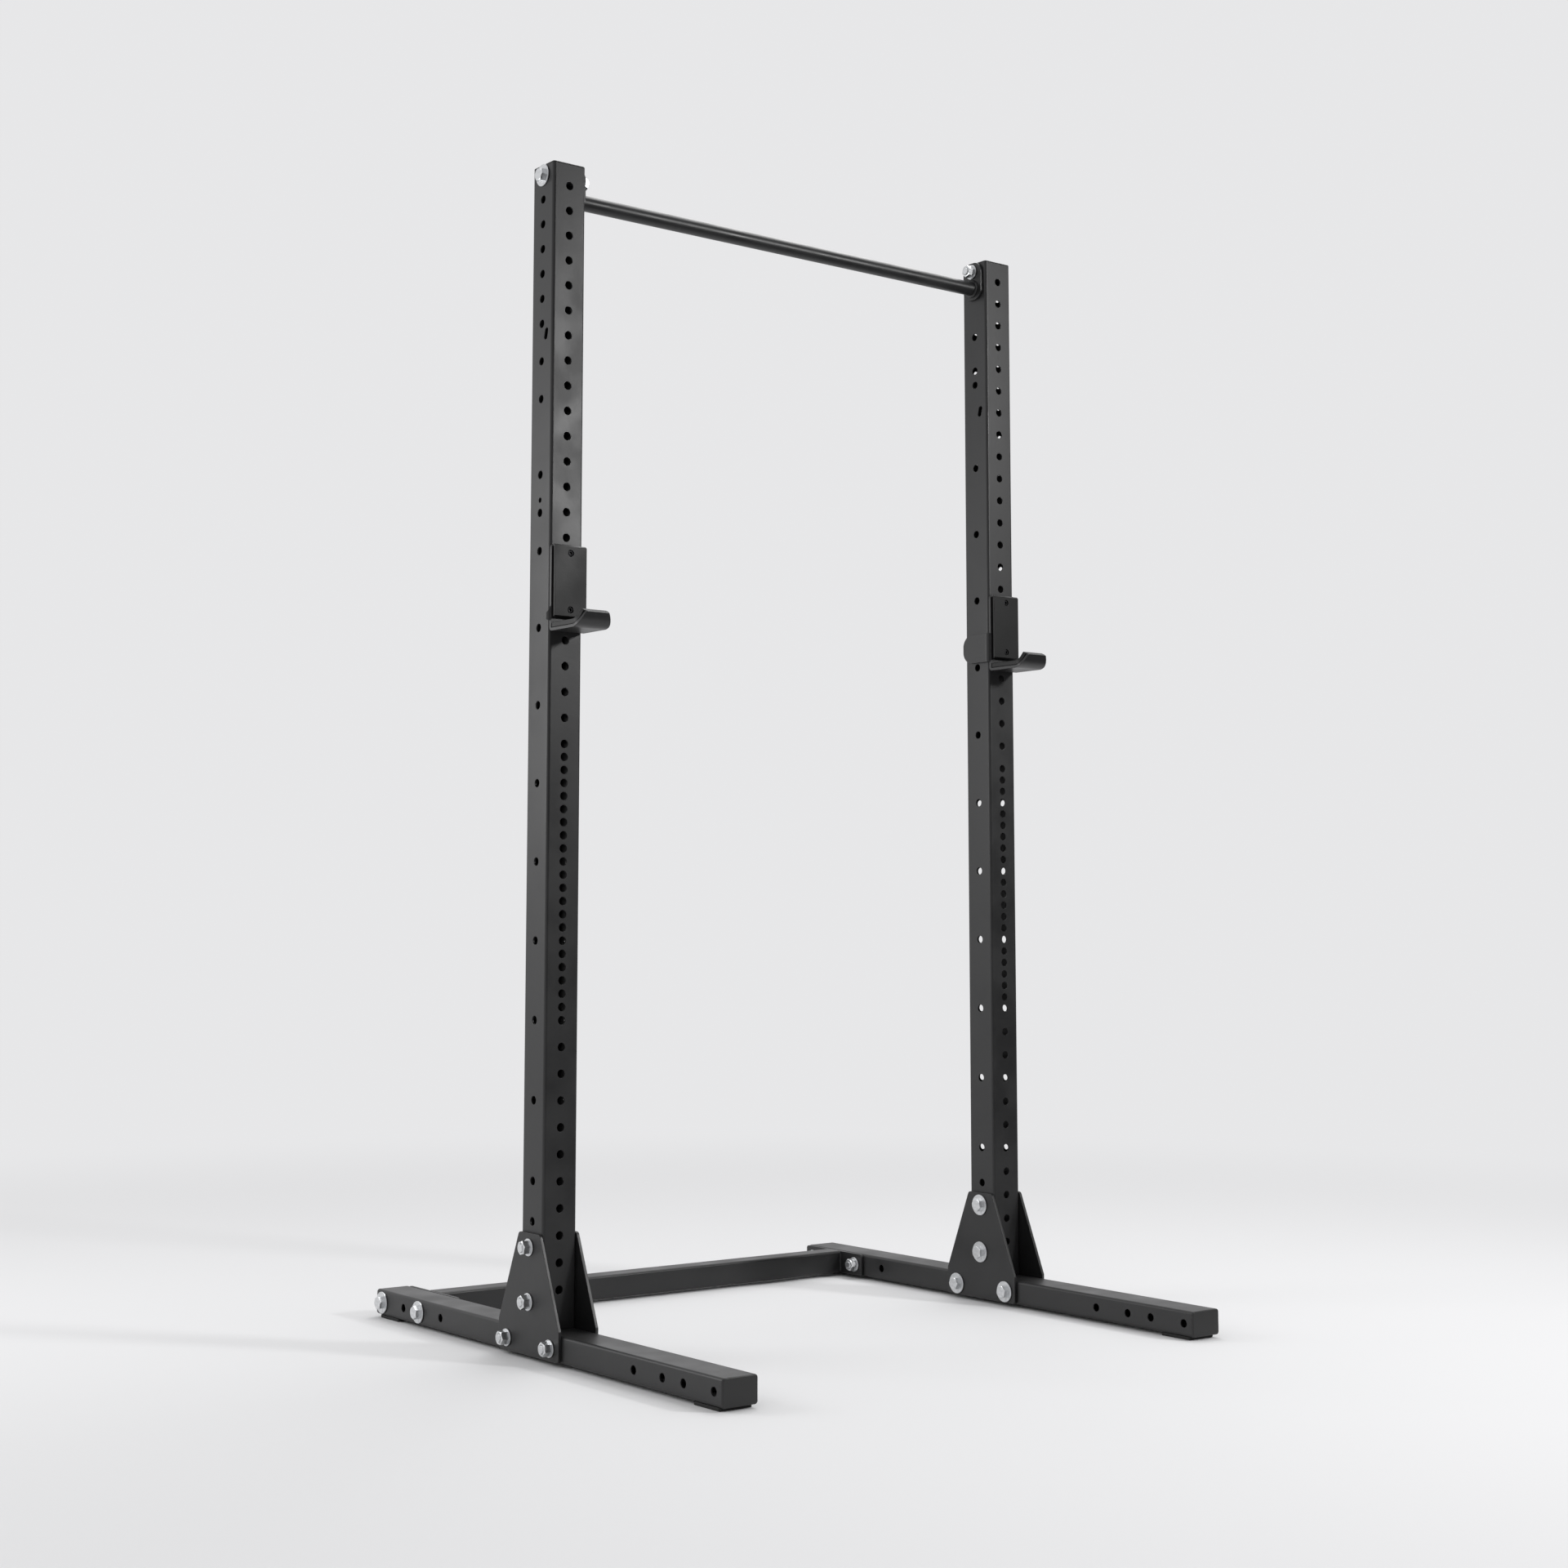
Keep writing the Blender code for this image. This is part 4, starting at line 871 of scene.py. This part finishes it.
def fold_line(start, moves, step=0.004):
    """Points and directions along straight runs and bends: (length,) or (radius, angle)."""
    place = Vector(start[:2])
    heading = start[2]
    result = [(place.copy(), heading)]
    for move in moves:
        if len(move) == 1:
            parts = max(1, math.ceil(move[0] / step))
            for part in range(parts):
                place = place + ahead_at(heading) * move[0] / parts
                result.append((place.copy(), heading))
        else:
            radius, angle = move
            parts = max(2, math.ceil(abs(angle) / BEND_STEP))
            turn = angle / parts
            chord = 2 * radius * math.sin(abs(turn) / 2)
            for part in range(parts):
                heading += turn / 2
                place = place + ahead_at(heading) * chord
                heading += turn / 2
                result.append((place.copy(), heading))
    return result


def bent_strip(line, place, thickness, extent, edge=STRIP_EDGE):
    """Sweeps a flat section along a fold line. Extent gives the two side limits at a point."""
    def ring(point, heading, shrink):
        low, high = extent(point)
        width = high - low - 2 * shrink
        corner = edge * 0.999 - min(shrink, edge * 0.6)
        section = rounded_rectangle(width, thickness - 2 * shrink, corner, 3)
        aside = Vector((-math.sin(heading), math.cos(heading)))
        centre = (low + high) / 2
        return [place @ Vector((point.x + aside.x * v, point.y + aside.y * v, centre + u))
                for u, v in section]

    def eased(point, heading, sign):
        """Three rings that round off one end, from the end inwards."""
        inwards = sign * ahead_at(heading)
        return [ring(point + inwards * edge * step, heading, edge * shrink)
                for step, shrink in ((0.0, 1.0), (0.3, 0.3), (1.0, 0.0))]

    rings = eased(*line[0], 1) + [ring(*station, 0.0) for station in line[1:-1]]
    return loft(rings + eased(*line[-1], -1)[::-1])


def corner_inset(distance, radius):
    """How far a rounded corner has come in from the side, this far from the end."""
    if distance >= radius:
        return 0.0
    return radius - math.sqrt(max(0.0, radius ** 2 - (radius - max(distance, 0.0)) ** 2))


# %% [markdown]
# The cup's side view is drawn forward and up. The numbers are the plate's own: where the shelf
# ends, how far the lip turns, how round its corners are.

# %% Cup sizes
SHELF_FLAT = 3.1 * INCH
LIP_RADIUS = 1.25 * INCH
LIP_TURN = math.radians(66.0)
LIP_STRAIGHT = 0.42 * INCH
LIP_CORNER = 0.95 * INCH
TOP_CORNER = 0.30 * INCH
HEEL_BEND = 0.0018 + PLATE / 2
LINER = 0.40 * INCH
LINER_EDGE = 0.0014
LINER_SHORTER = 0.001
LINER_ROUNDS_EARLIER = 0.004
EAR_CLEARANCE = 0.0004
EAR_ROUND = 1.1 * INCH
EAR_LENGTH = 3.05 * INCH
EAR_HEIGHT = 2.55 * INCH
EAR_RISE = 0.80 * INCH
EAR_BEND = 0.0045 + PLATE / 2
EAR_OVERLAP = 0.020
EAR_STEP = 0.002
TAB_HEIGHT = 1.35 * INCH
TAB_RISE = 0.85 * INCH
TAB_TIP = 0.40 * INCH
TAB_LENGTH = 0.6 * INCH
TAB_DROP = 0.06 * INCH
TAB_STEP = 0.0008
TAB_EDGE = 0.0005
HOLE_DROP = 30.0 * INCH
PIN_RADIUS = 0.3125 * INCH
PIN_REACH = 2.0 * INCH
PIN_ROOT = -0.003
PIN_TIP = ((0.0026, 0.0), (0.0012, 0.0010), (0.0, 0.0026))
SCREW_HOLE = 0.0074
RIGHT_ANGLE = math.radians(90.0)
tube_front = -TUBE_HALF
plate_back = tube_front - GAP
plate_middle = plate_back - PLATE / 2
lip_front = (SHELF_FLAT + LIP_RADIUS * math.sin(LIP_TURN)
             + LIP_STRAIGHT * math.cos(LIP_TURN) + GAP)
print("lip ends", round(lip_front, 4), "m in front of the back plate's middle")


# %% Cup steel
def cup_side_view(x, bottom):
    return Matrix(((0, 0, 1, x), (-1, 0, 0, plate_middle), (0, 1, 0, bottom), (0, 0, 0, 1)))


def make_cup_strip(x, low, high):
    """Back plate, shelf and lip: forward is measured from the middle of the back plate."""
    tall = high.z - low.z
    moves = [
        (tall - PLATE / 2 - HEEL_BEND,),
        (HEEL_BEND, RIGHT_ANGLE),
        (SHELF_FLAT - HEEL_BEND,),
        (LIP_RADIUS - PLATE / 2, LIP_TURN),
        (LIP_STRAIGHT,),
    ]

    def extent(point):
        inset = corner_inset(lip_front - point.x, LIP_CORNER)
        if point.x < PLATE:
            inset = max(inset, corner_inset(tall - point.y, TOP_CORNER))
        return -TUBE_HALF + inset, TUBE_HALF - inset

    line = fold_line((0.0, tall, -RIGHT_ANGLE), moves)
    return bent_strip(line, cup_side_view(x, low.z), PLATE, extent)


def make_side_fold(x, face, bottom, height_limits, length, step, edge):
    """The ear or the tab: out of the back plate, round the tube's corner, back along its side."""
    plan = Matrix(((face, 0, 0, x), (0, 1, 0, plate_middle), (0, 0, 1, bottom), (0, 0, 0, 1)))
    out = TUBE_HALF + EAR_CLEARANCE + PLATE / 2
    start = out - EAR_OVERLAP
    end_y = tube_front + length - plate_middle
    moves = [(out - EAR_BEND - start,), (EAR_BEND, RIGHT_ANGLE), (end_y - EAR_BEND,)]
    line = fold_line((start, 0.0, 0.0), moves, step)
    return bent_strip(line, plan, PLATE, lambda point: height_limits(point, end_y), edge)


def ear_limits(point, end_y):
    inset = corner_inset(end_y - point.y, EAR_ROUND) if point.y > EAR_BEND else 0.0
    return EAR_RISE + inset, EAR_RISE + EAR_HEIGHT - inset


def tab_limits(point, end_y):
    """A hollow upper edge that runs to a point at the rear, over a slanted lower edge."""
    walked = max(0.0, point.x - TUBE_HALF) + max(0.0, point.y)
    left = 1.0 - min(1.0, walked / (EAR_CLEARANCE + PLATE / 2 + end_y))
    drop = (TAB_HEIGHT - TAB_TIP) * math.sqrt(1.0 - left ** 2)
    slant = min(1.0, max(0.0, (end_y - point.y) / TAB_LENGTH))
    low = TAB_RISE + (TAB_TIP - TAB_DROP) * (1.0 - slant)
    return low, TAB_RISE + TAB_HEIGHT - drop


def make_cup_steel(name, side):
    node = f"{name}_cup_frame"
    x = upright_x[name]
    low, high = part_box(node)
    holes = []
    for level in LEVELS:
        place = front_plane((x, plate_middle, middle(f"{name}_cup_pad_{level}_screw").z))
        holes.append(drill(place, THROUGH_PLATE, SCREW_HOLE))
    strip = combine(make_cup_strip(x, low, high), "DIFFERENCE", together(holes))
    ear = make_side_fold(x, -side, low.z, ear_limits, EAR_LENGTH, EAR_STEP, STRIP_EDGE)
    tab = make_side_fold(x, side, low.z, tab_limits, TAB_LENGTH, TAB_STEP, TAB_EDGE)
    pin_place = front_plane((x, plate_back, first_hole - HOLE_DROP), -1)
    tip = [(PIN_REACH - back, PIN_RADIUS - shrink) for back, shrink in PIN_TIP]
    pin = turned([(PIN_ROOT, PIN_RADIUS), *tip], pin_place)
    body = combine(strip, "UNION", ear, tab, pin)
    print(f"{name} cup:", len(body.faces), "faces")
    keep(f"{name}_cup_steel", body, "cup_coat", node)


for side_name, side in SIDES.items():
    make_cup_steel(side_name, side)

# %% [markdown]
# ### Liner and pad
# Plastic keeps the barbell off the steel. The liner follows the shelf and the lip, a little
# narrower than the steel, and the pad covers the back plate. The pad is a slab on a smaller block,
# which leaves a dark gap between it and the steel, and its upper and lower edges are cut at a slant
# that catches the light. Two blackened screws are sunk in it.

# %% Cup liners
def make_liner(name):
    node = f"{name}_cup_liner"
    low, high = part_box(node)
    lift = PLATE + GAP + LINER / 2
    begin = PLATE / 2 + GAP
    moves = [(SHELF_FLAT - begin,), (LIP_RADIUS - lift, LIP_TURN), (LIP_STRAIGHT,)]
    half = (high.x - low.x) / 2
    limit = lip_front - LINER_SHORTER

    def extent(point):
        inset = corner_inset(limit - point.x - LINER_ROUNDS_EARLIER, LIP_CORNER)
        return -half + inset, half - inset

    line = fold_line((begin, LINER / 2, 0.0), moves)
    place = cup_side_view(upright_x[name], low.z)
    body = bent_strip(line, place, LINER, extent, LINER_EDGE)
    keep(f"{name}_cup_shelf_liner", body, "pad_plastic", node)


for side_name in SIDES:
    make_liner(side_name)


# %% Cup pads
PAD_SLANT = 0.0030
PAD_SIDE_EDGE = 0.0007
PAD_STEP_IN = 0.0050
PAD_SLAB = 0.0045
SCREW_HEAD_RADIUS = 0.0060
SCREW_PLAY = 0.0005
SCREW_SINK = 0.0063


def make_pad(name):
    node = f"{name}_cup_pad"
    low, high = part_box(node)
    centre = middle(node)
    thick = high.y - low.y
    side = PAD_SIDE_EDGE
    back = thick - PAD_SLAB
    # Each station: height, then how far the sides and the upper and lower ends come in.
    stations = (
        (0.0, PAD_STEP_IN, PAD_STEP_IN), (back, PAD_STEP_IN, PAD_STEP_IN),
        (back, 0.0004, 0.0004), (back + 0.0004, 0.0, 0.0),
        (thick - PAD_SLANT - 0.0003, 0.0, 0.0), (thick - PAD_SLANT + 0.0002, 0.0, 0.0004),
        (thick - side, 0.0, PAD_SLANT - side),
        (thick - side * 0.3, side * 0.3, PAD_SLANT - side * 0.2),
        (thick, side, PAD_SLANT + 0.0003),
    )
    place = front_plane((centre.x, high.y, centre.z))
    rings = []
    for height, from_side, from_end in stations:
        size = (high.x - low.x - 2 * from_side, high.z - low.z - 2 * from_end)
        corner = max(0.0004, 0.0012 - from_side)
        rings.append(lay(rounded_rectangle(*size, corner, 4), place, height))
    sinks = []
    holes = []
    for level in LEVELS:
        facing = front_plane((centre.x, low.y, middle(f"{name}_cup_pad_{level}_screw").z))
        radius = SCREW_HEAD_RADIUS + SCREW_PLAY
        sink = ((-SCREW_SINK, radius), (-MOUTH, radius), (MOUTH, radius + 2 * MOUTH))
        hole = ((-thick - 0.001, SCREW_HOLE / 2), (-SCREW_SINK + 0.001, SCREW_HOLE / 2))
        sinks.append(turned(sink, facing))
        holes.append(turned(hole, facing))
    body = combine(loft(rings), "DIFFERENCE", together(holes), together(sinks))
    keep(f"{name}_cup_face_pad", body, "pad_plastic", node)


for side_name in SIDES:
    make_pad(side_name)
print("pads:", len(SIDES), "with", len(SIDES) * len(LEVELS), "sunk screws")

# %% Pad screws
SCREW_HEAD_DEPTH = 0.0045
SCREW_RADIUS = 0.0032
SOCKET_HALF = 0.0029
SOCKET_DEPTH = 0.0026


def make_pad_screw(name, level):
    """A cap screw as one loft: out of its hexagonal socket, over the head and down the shank."""
    node = f"{name}_cup_pad_{level}_screw"
    low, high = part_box(node)
    centre = middle(node)
    place = front_plane((centre.x, low.y, centre.z), -1)
    reach = high.y - low.y
    socket = ((SOCKET_DEPTH, 0.0001), (SOCKET_DEPTH, SOCKET_HALF), (0.0003, SOCKET_HALF))
    outside = (
        (0.0, 0.0033), (0.0, SCREW_HEAD_RADIUS - 0.0006), (0.0006, SCREW_HEAD_RADIUS),
        (SCREW_HEAD_DEPTH, SCREW_HEAD_RADIUS), (SCREW_HEAD_DEPTH, SCREW_RADIUS),
        (reach - 0.0006, SCREW_RADIUS), (reach, SCREW_RADIUS - 0.0006),
    )
    rings = [lay(hexagon(radius * 2, 24), place, height) for height, radius in socket]
    rings += [lay(circle(radius, 24), place, height) for height, radius in outside]
    keep(f"{name}_cup_pad_{level}_capscrew", loft(rings), "screw_oxide", node)


for side_name in SIDES:
    for level in LEVELS:
        make_pad_screw(side_name, level)

# %% [markdown]
# ## Bolts and nuts
# Heads and nuts are hexagons whose corners are turned off at 30 degrees, which draws a curved line
# on every flat: the further a point of the hexagon is from the axis, the lower its top edge. So the
# hexagon has many points, and each top point gets its own height. The thread is a true spiral: its
# radius depends on the height and on the angle.

# %% Hexagons with turned corners
HEX_FLATS = 0.9375 * INCH
HEX_TURNED_FROM = HEX_FLATS / 2 * 0.96
HEX_FALL = math.tan(math.radians(30.0))
HEX_FACE = HEX_FLATS / 2 * 0.93
HEAD_HEIGHT = 0.39 * INCH
WASHER = 0.0030
WASHER_EASE = 0.0006
HEAD_WASHER = 1.75 * INCH
NUT_WASHER = 1.30 * INCH
SHANK_RADIUS = 0.3125 * INCH
THREAD_PITCH = INCH / 11
THREAD_DEPTH = 0.0011
THREAD_LENGTH = 0.008
THREAD_TIP = 0.0012
THREAD_SIDES = 32
HEX_SUNK = 0.0002
NUT_MOUTH = 0.0009


def turned_top(height):
    """The hexagon's top edge: each point lower the further it is from the axis."""
    return [Vector((x, y, height - (math.hypot(x, y) - HEX_TURNED_FROM) * HEX_FALL))
            for x, y in hexagon(HEX_FLATS)]


def washer_shape(radius, bore, start):
    top = start + WASHER
    stations = ((start, bore), (top, bore), (top, radius - WASHER_EASE),
                (top - WASHER_EASE, radius), (start + WASHER_EASE, radius),
                (start, radius - WASHER_EASE))
    return turned(stations, sides=48, closed=True)


def thread_shape(start, end):
    """A threaded end with its tip turned to a cone."""
    rings = [lay(circle(SHANK_RADIUS, THREAD_SIDES), HERE, -0.001)]
    steps = math.ceil((end - start) / (THREAD_PITCH / 8))
    for step in range(steps + 1):
        height = start + (end - start) * step / steps
        limit = SHANK_RADIUS - max(0.0, height - (end - THREAD_TIP))
        ring = []
        for index, turn in enumerate(around(THREAD_SIDES)):
            phase = (height / THREAD_PITCH - index / THREAD_SIDES) % 1.0
            radius = min(limit, SHANK_RADIUS - THREAD_DEPTH * (1.0 - abs(2.0 * phase - 1.0)))
            if step == 0:
                radius = SHANK_RADIUS
            ring.append(Vector((*polar(radius, turn), height)))
        rings.append(ring)
    return loft(rings)


# %% Bolt and nut shapes
def bolt_shape(reach):
    """The head points down from the washer, and the shank rises from it."""
    head = loft([lay(hexagon(HEX_FLATS), HERE, -HEX_SUNK), turned_top(HEAD_HEIGHT),
                 lay(circle(HEX_FACE, 48), HERE, HEAD_HEIGHT)])
    flip = Matrix.Translation((0, 0, -WASHER)) @ Matrix.Rotation(math.pi, 4, "X")
    bmesh.ops.transform(head, matrix=flip, verts=head.verts)
    washer = washer_shape(HEAD_WASHER / 2, SHANK_RADIUS + 0.0004, -WASHER)
    return together([head, washer, thread_shape(reach - THREAD_LENGTH, reach)])


def nut_shape(top):
    bore = SHANK_RADIUS + 0.0003
    bottom = WASHER - HEX_SUNK
    rings = [lay(circle(bore, 48), HERE, bottom), lay(hexagon(HEX_FLATS), HERE, bottom)]
    rings.append(turned_top(top))
    for height, radius in ((top, HEX_FACE), (top, bore + NUT_MOUTH), (top - NUT_MOUTH, bore)):
        rings.append(lay(circle(radius, 48), HERE, height))
    return together([loft(rings, closed=True), washer_shape(NUT_WASHER / 2, bore, 0.0)])


# %% [markdown]
# Every bolt and nut is placed from its CAD node: the box tells where the head is and how long the
# bolt is. No two are turned to the same angle, as nobody lines them up when bolting a rack
# together.

# %% Place the fasteners
FASTENER_SHARP = 29.0
FASTENER_TURN = 37.0
shapes = {}


def place_fastener(node, way, number):
    low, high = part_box(node)
    centre = middle(node)
    is_bolt = node.endswith("_bolt")
    setback = WASHER + HEAD_HEIGHT if is_bolt else 0.0
    reach = high.x - low.x - setback
    key = (is_bolt, round(reach, 5))
    if key not in shapes:
        name, shape = ("bolt", bolt_shape) if is_bolt else ("nut", nut_shape)
        shapes[key] = finished_mesh(name, shape(reach), "fastener_zinc", FASTENER_SHARP)
    mesh = shapes[key].copy()
    mesh.transform(Matrix.Rotation(math.radians(FASTENER_TURN * number), 4, "Z"))
    x = low.x + setback if way > 0 else high.x - setback
    place = side_plane((x, centre.y, centre.z), way)
    keep(f"{node}_and_washer", mesh, "fastener_zinc", node, place)


number = 0
for side_name, side in SIDES.items():
    ways = {f"gusset_{spot}": side for spot in (*LEVELS, *ENDS)}
    ways |= {"crossmember_front": -side, "crossmember_rear": -side, "pull_up_bar": -side}
    for spot, way in ways.items():
        for kind in ("bolt", "nut"):
            number += 1
            place_fastener(f"{side_name}_{spot}_{kind}", way, number)
print("fasteners:", number, "from", len(shapes), "shapes")

# %% [markdown]
# ## The studio
# The rack stands on a pale floor before a pale backdrop, and soft light comes from all around. In
# reflections the room is pale behind the rack and on its left, and dark in front: black satin steel
# shows its shape only through such a difference. Far from the rack the floor takes on the
# backdrop's colour, so no horizon line shows, while near the rack it keeps the shadow.

# %% Floor and world
WHITE = (1.0, 1.0, 1.0, 1.0)
PALE = (0.80, 0.80, 0.81, 1.0)
FLOOR_COLOUR = (0.82, 0.82, 0.83, 1.0)
FLOOR_ROUGHNESS = 0.9
FLOOR_RADIUS = 60.0
FLOOR_PLAIN_WITHIN = 1.2
FLOOR_BLENDED_FROM = 4.6
ROOM_LIGHT = 0.62
PALE_SIDE = (-0.45, 1.0, 0.0)
DARK_SHARE = 0.08
ROOM_TURNS_PALE = (-0.95, 0.05)
FLOOR_TURNS_PALE = (-1.7, -0.7)


def seen_directly(tree):
    """1 for rays of the camera, a reflection or clear glass, and 0 for the light itself."""
    path = add_node(tree, "LightPath").outputs
    seen = sum_up(tree, "MAXIMUM", path["Is Camera Ray"], path["Is Glossy Ray"])
    return sum_up(tree, "MAXIMUM", seen, path["Is Transmission Ray"])


def pale_behind(tree, coordinates, dark_until, pale_from):
    """In reflections 1 behind the rack and on its left, and little in front. To the camera 1."""
    place = add_node(tree, "TexCoord").outputs[coordinates]
    backwards = measure(tree, "DOT_PRODUCT", place, PALE_SIDE)
    behind = scaled(tree, backwards, dark_until, pale_from, DARK_SHARE, 1.0)
    straight = add_node(tree, "LightPath").outputs["Is Camera Ray"]
    return sum_up(tree, "MAXIMUM", behind, straight)


def blend(tree, share, first, second):
    """The first shader where the share is 0, and the second where it is 1."""
    inputs = {"Fac": share, 1: first, 2: second}
    return add_node(tree, "MixShader", inputs).outputs["Shader"]


def make_world():
    world = bpy.data.worlds.new("Pale studio")
    world.use_nodes = True
    tree = world.node_tree
    tree.nodes.clear()
    light = add_node(tree, "Background", {"Color": WHITE, "Strength": ROOM_LIGHT})
    strength = pale_behind(tree, "Generated", *ROOM_TURNS_PALE)
    shown = add_node(tree, "Background", {"Color": PALE, "Strength": strength})
    surface = blend(tree, seen_directly(tree), light.outputs[0], shown.outputs[0])
    add_node(tree, "OutputWorld", {"Surface": surface})
    bpy.context.scene.world = world


def make_floor_material():
    material = bpy.data.materials.new("Pale studio floor")
    material.use_nodes = True
    tree = material.node_tree
    shader = tree.nodes["Principled BSDF"]
    fill(tree, shader, {"Base Color": FLOOR_COLOUR, "Roughness": FLOOR_ROUGHNESS})
    place = add_node(tree, "TexCoord").outputs["Object"]
    far = scaled(tree, measure(tree, "LENGTH", place), FLOOR_PLAIN_WITHIN, FLOOR_BLENDED_FROM,
                 interpolation_type="SMOOTHSTEP")
    pale = pale_behind(tree, "Object", *FLOOR_TURNS_PALE)
    glow = add_node(tree, "Emission", {"Color": PALE, "Strength": pale})
    unlit = sum_up(tree, "MAXIMUM", far, sum_up(tree, "SUBTRACT", 1.0, pale))
    share = sum_up(tree, "MULTIPLY", unlit, seen_directly(tree))
    surface = blend(tree, share, shader.outputs["BSDF"], glow.outputs["Emission"])
    fill(tree, tree.nodes["Material Output"], {"Surface": surface})
    return material


def make_floor():
    bm = bmesh.new()
    bmesh.ops.create_circle(bm, cap_ends=True, segments=96, radius=FLOOR_RADIUS)
    mesh = bpy.data.meshes.new("studio_floor")
    bm.to_mesh(mesh)
    bm.free()
    mesh.materials.append(make_floor_material())
    floor = add_object("studio_floor", mesh)


make_world()
make_floor()

# %% [markdown]
# ## Light and camera
# Three soft lamps. The main one stands in front on the right, a little higher than the rack, and
# throws the cups' shadows down to the left. A weaker one stands close on the left, where the outer
# side faces mirror it. The third hangs over the rack and lights the bar and every upper edge. The
# camera stands low on the left and looks up, as in the photograph. Its lens shift places the rack
# in the frame without turning the camera.

# %% Lamps
def add_lamp(name, place, target, size, power):
    lamp = bpy.data.lights.new(name, "AREA")
    lamp.shape = "SQUARE"
    lamp.size = size
    lamp.energy = power
    holder = add_object(name, lamp)
    holder.location = place
    towards = Vector(target) - Vector(place)
    holder.rotation_euler = towards.to_track_quat("-Z", "Y").to_euler()
    holder.visible_camera = False


add_lamp("main_lamp", (2.55, -3.9, 2.9), (0, 0, 1.0), size=0.55, power=88.0)
add_lamp("left_lamp", (-2.9, 1.9, 1.7), (-0.3, 0, 1.2), size=1.4, power=25.0)
add_lamp("over_lamp", (1.6, 0.7, 4.6), (0, 0, 2.0), size=2.4, power=60.0)
print("lamps:", [light.name for light in bpy.data.lights])

# %% Camera
CAMERA_PLACE = (-3.0620, -3.8773, 0.82365)
CAMERA_TURN = -0.64229
CAMERA_TILT = 0.10503
CAMERA_ROLL = 0.00237
SENSOR_WIDTH = 36.0
FOCAL_LENGTH = 53.85
LENS_SHIFT = (0.0366, -0.0683)
SEES_UP_TO = 200.0


def add_camera():
    lens = bpy.data.cameras.new("studio_camera")
    lens.sensor_width, lens.lens = SENSOR_WIDTH, FOCAL_LENGTH
    lens.shift_x, lens.shift_y = LENS_SHIFT
    lens.clip_end = SEES_UP_TO
    camera = add_object("studio_camera", lens)
    turn = Matrix.Rotation(CAMERA_TURN, 4, "Z")
    tilt = Matrix.Rotation(math.pi / 2 + CAMERA_TILT, 4, "X")
    roll = Matrix.Rotation(CAMERA_ROLL, 4, "Z")
    camera.matrix_world = Matrix.Translation(CAMERA_PLACE) @ (turn @ tilt) @ roll
    bpy.context.scene.camera = camera


add_camera()
bpy.context.scene.view_settings.view_transform = "Standard"
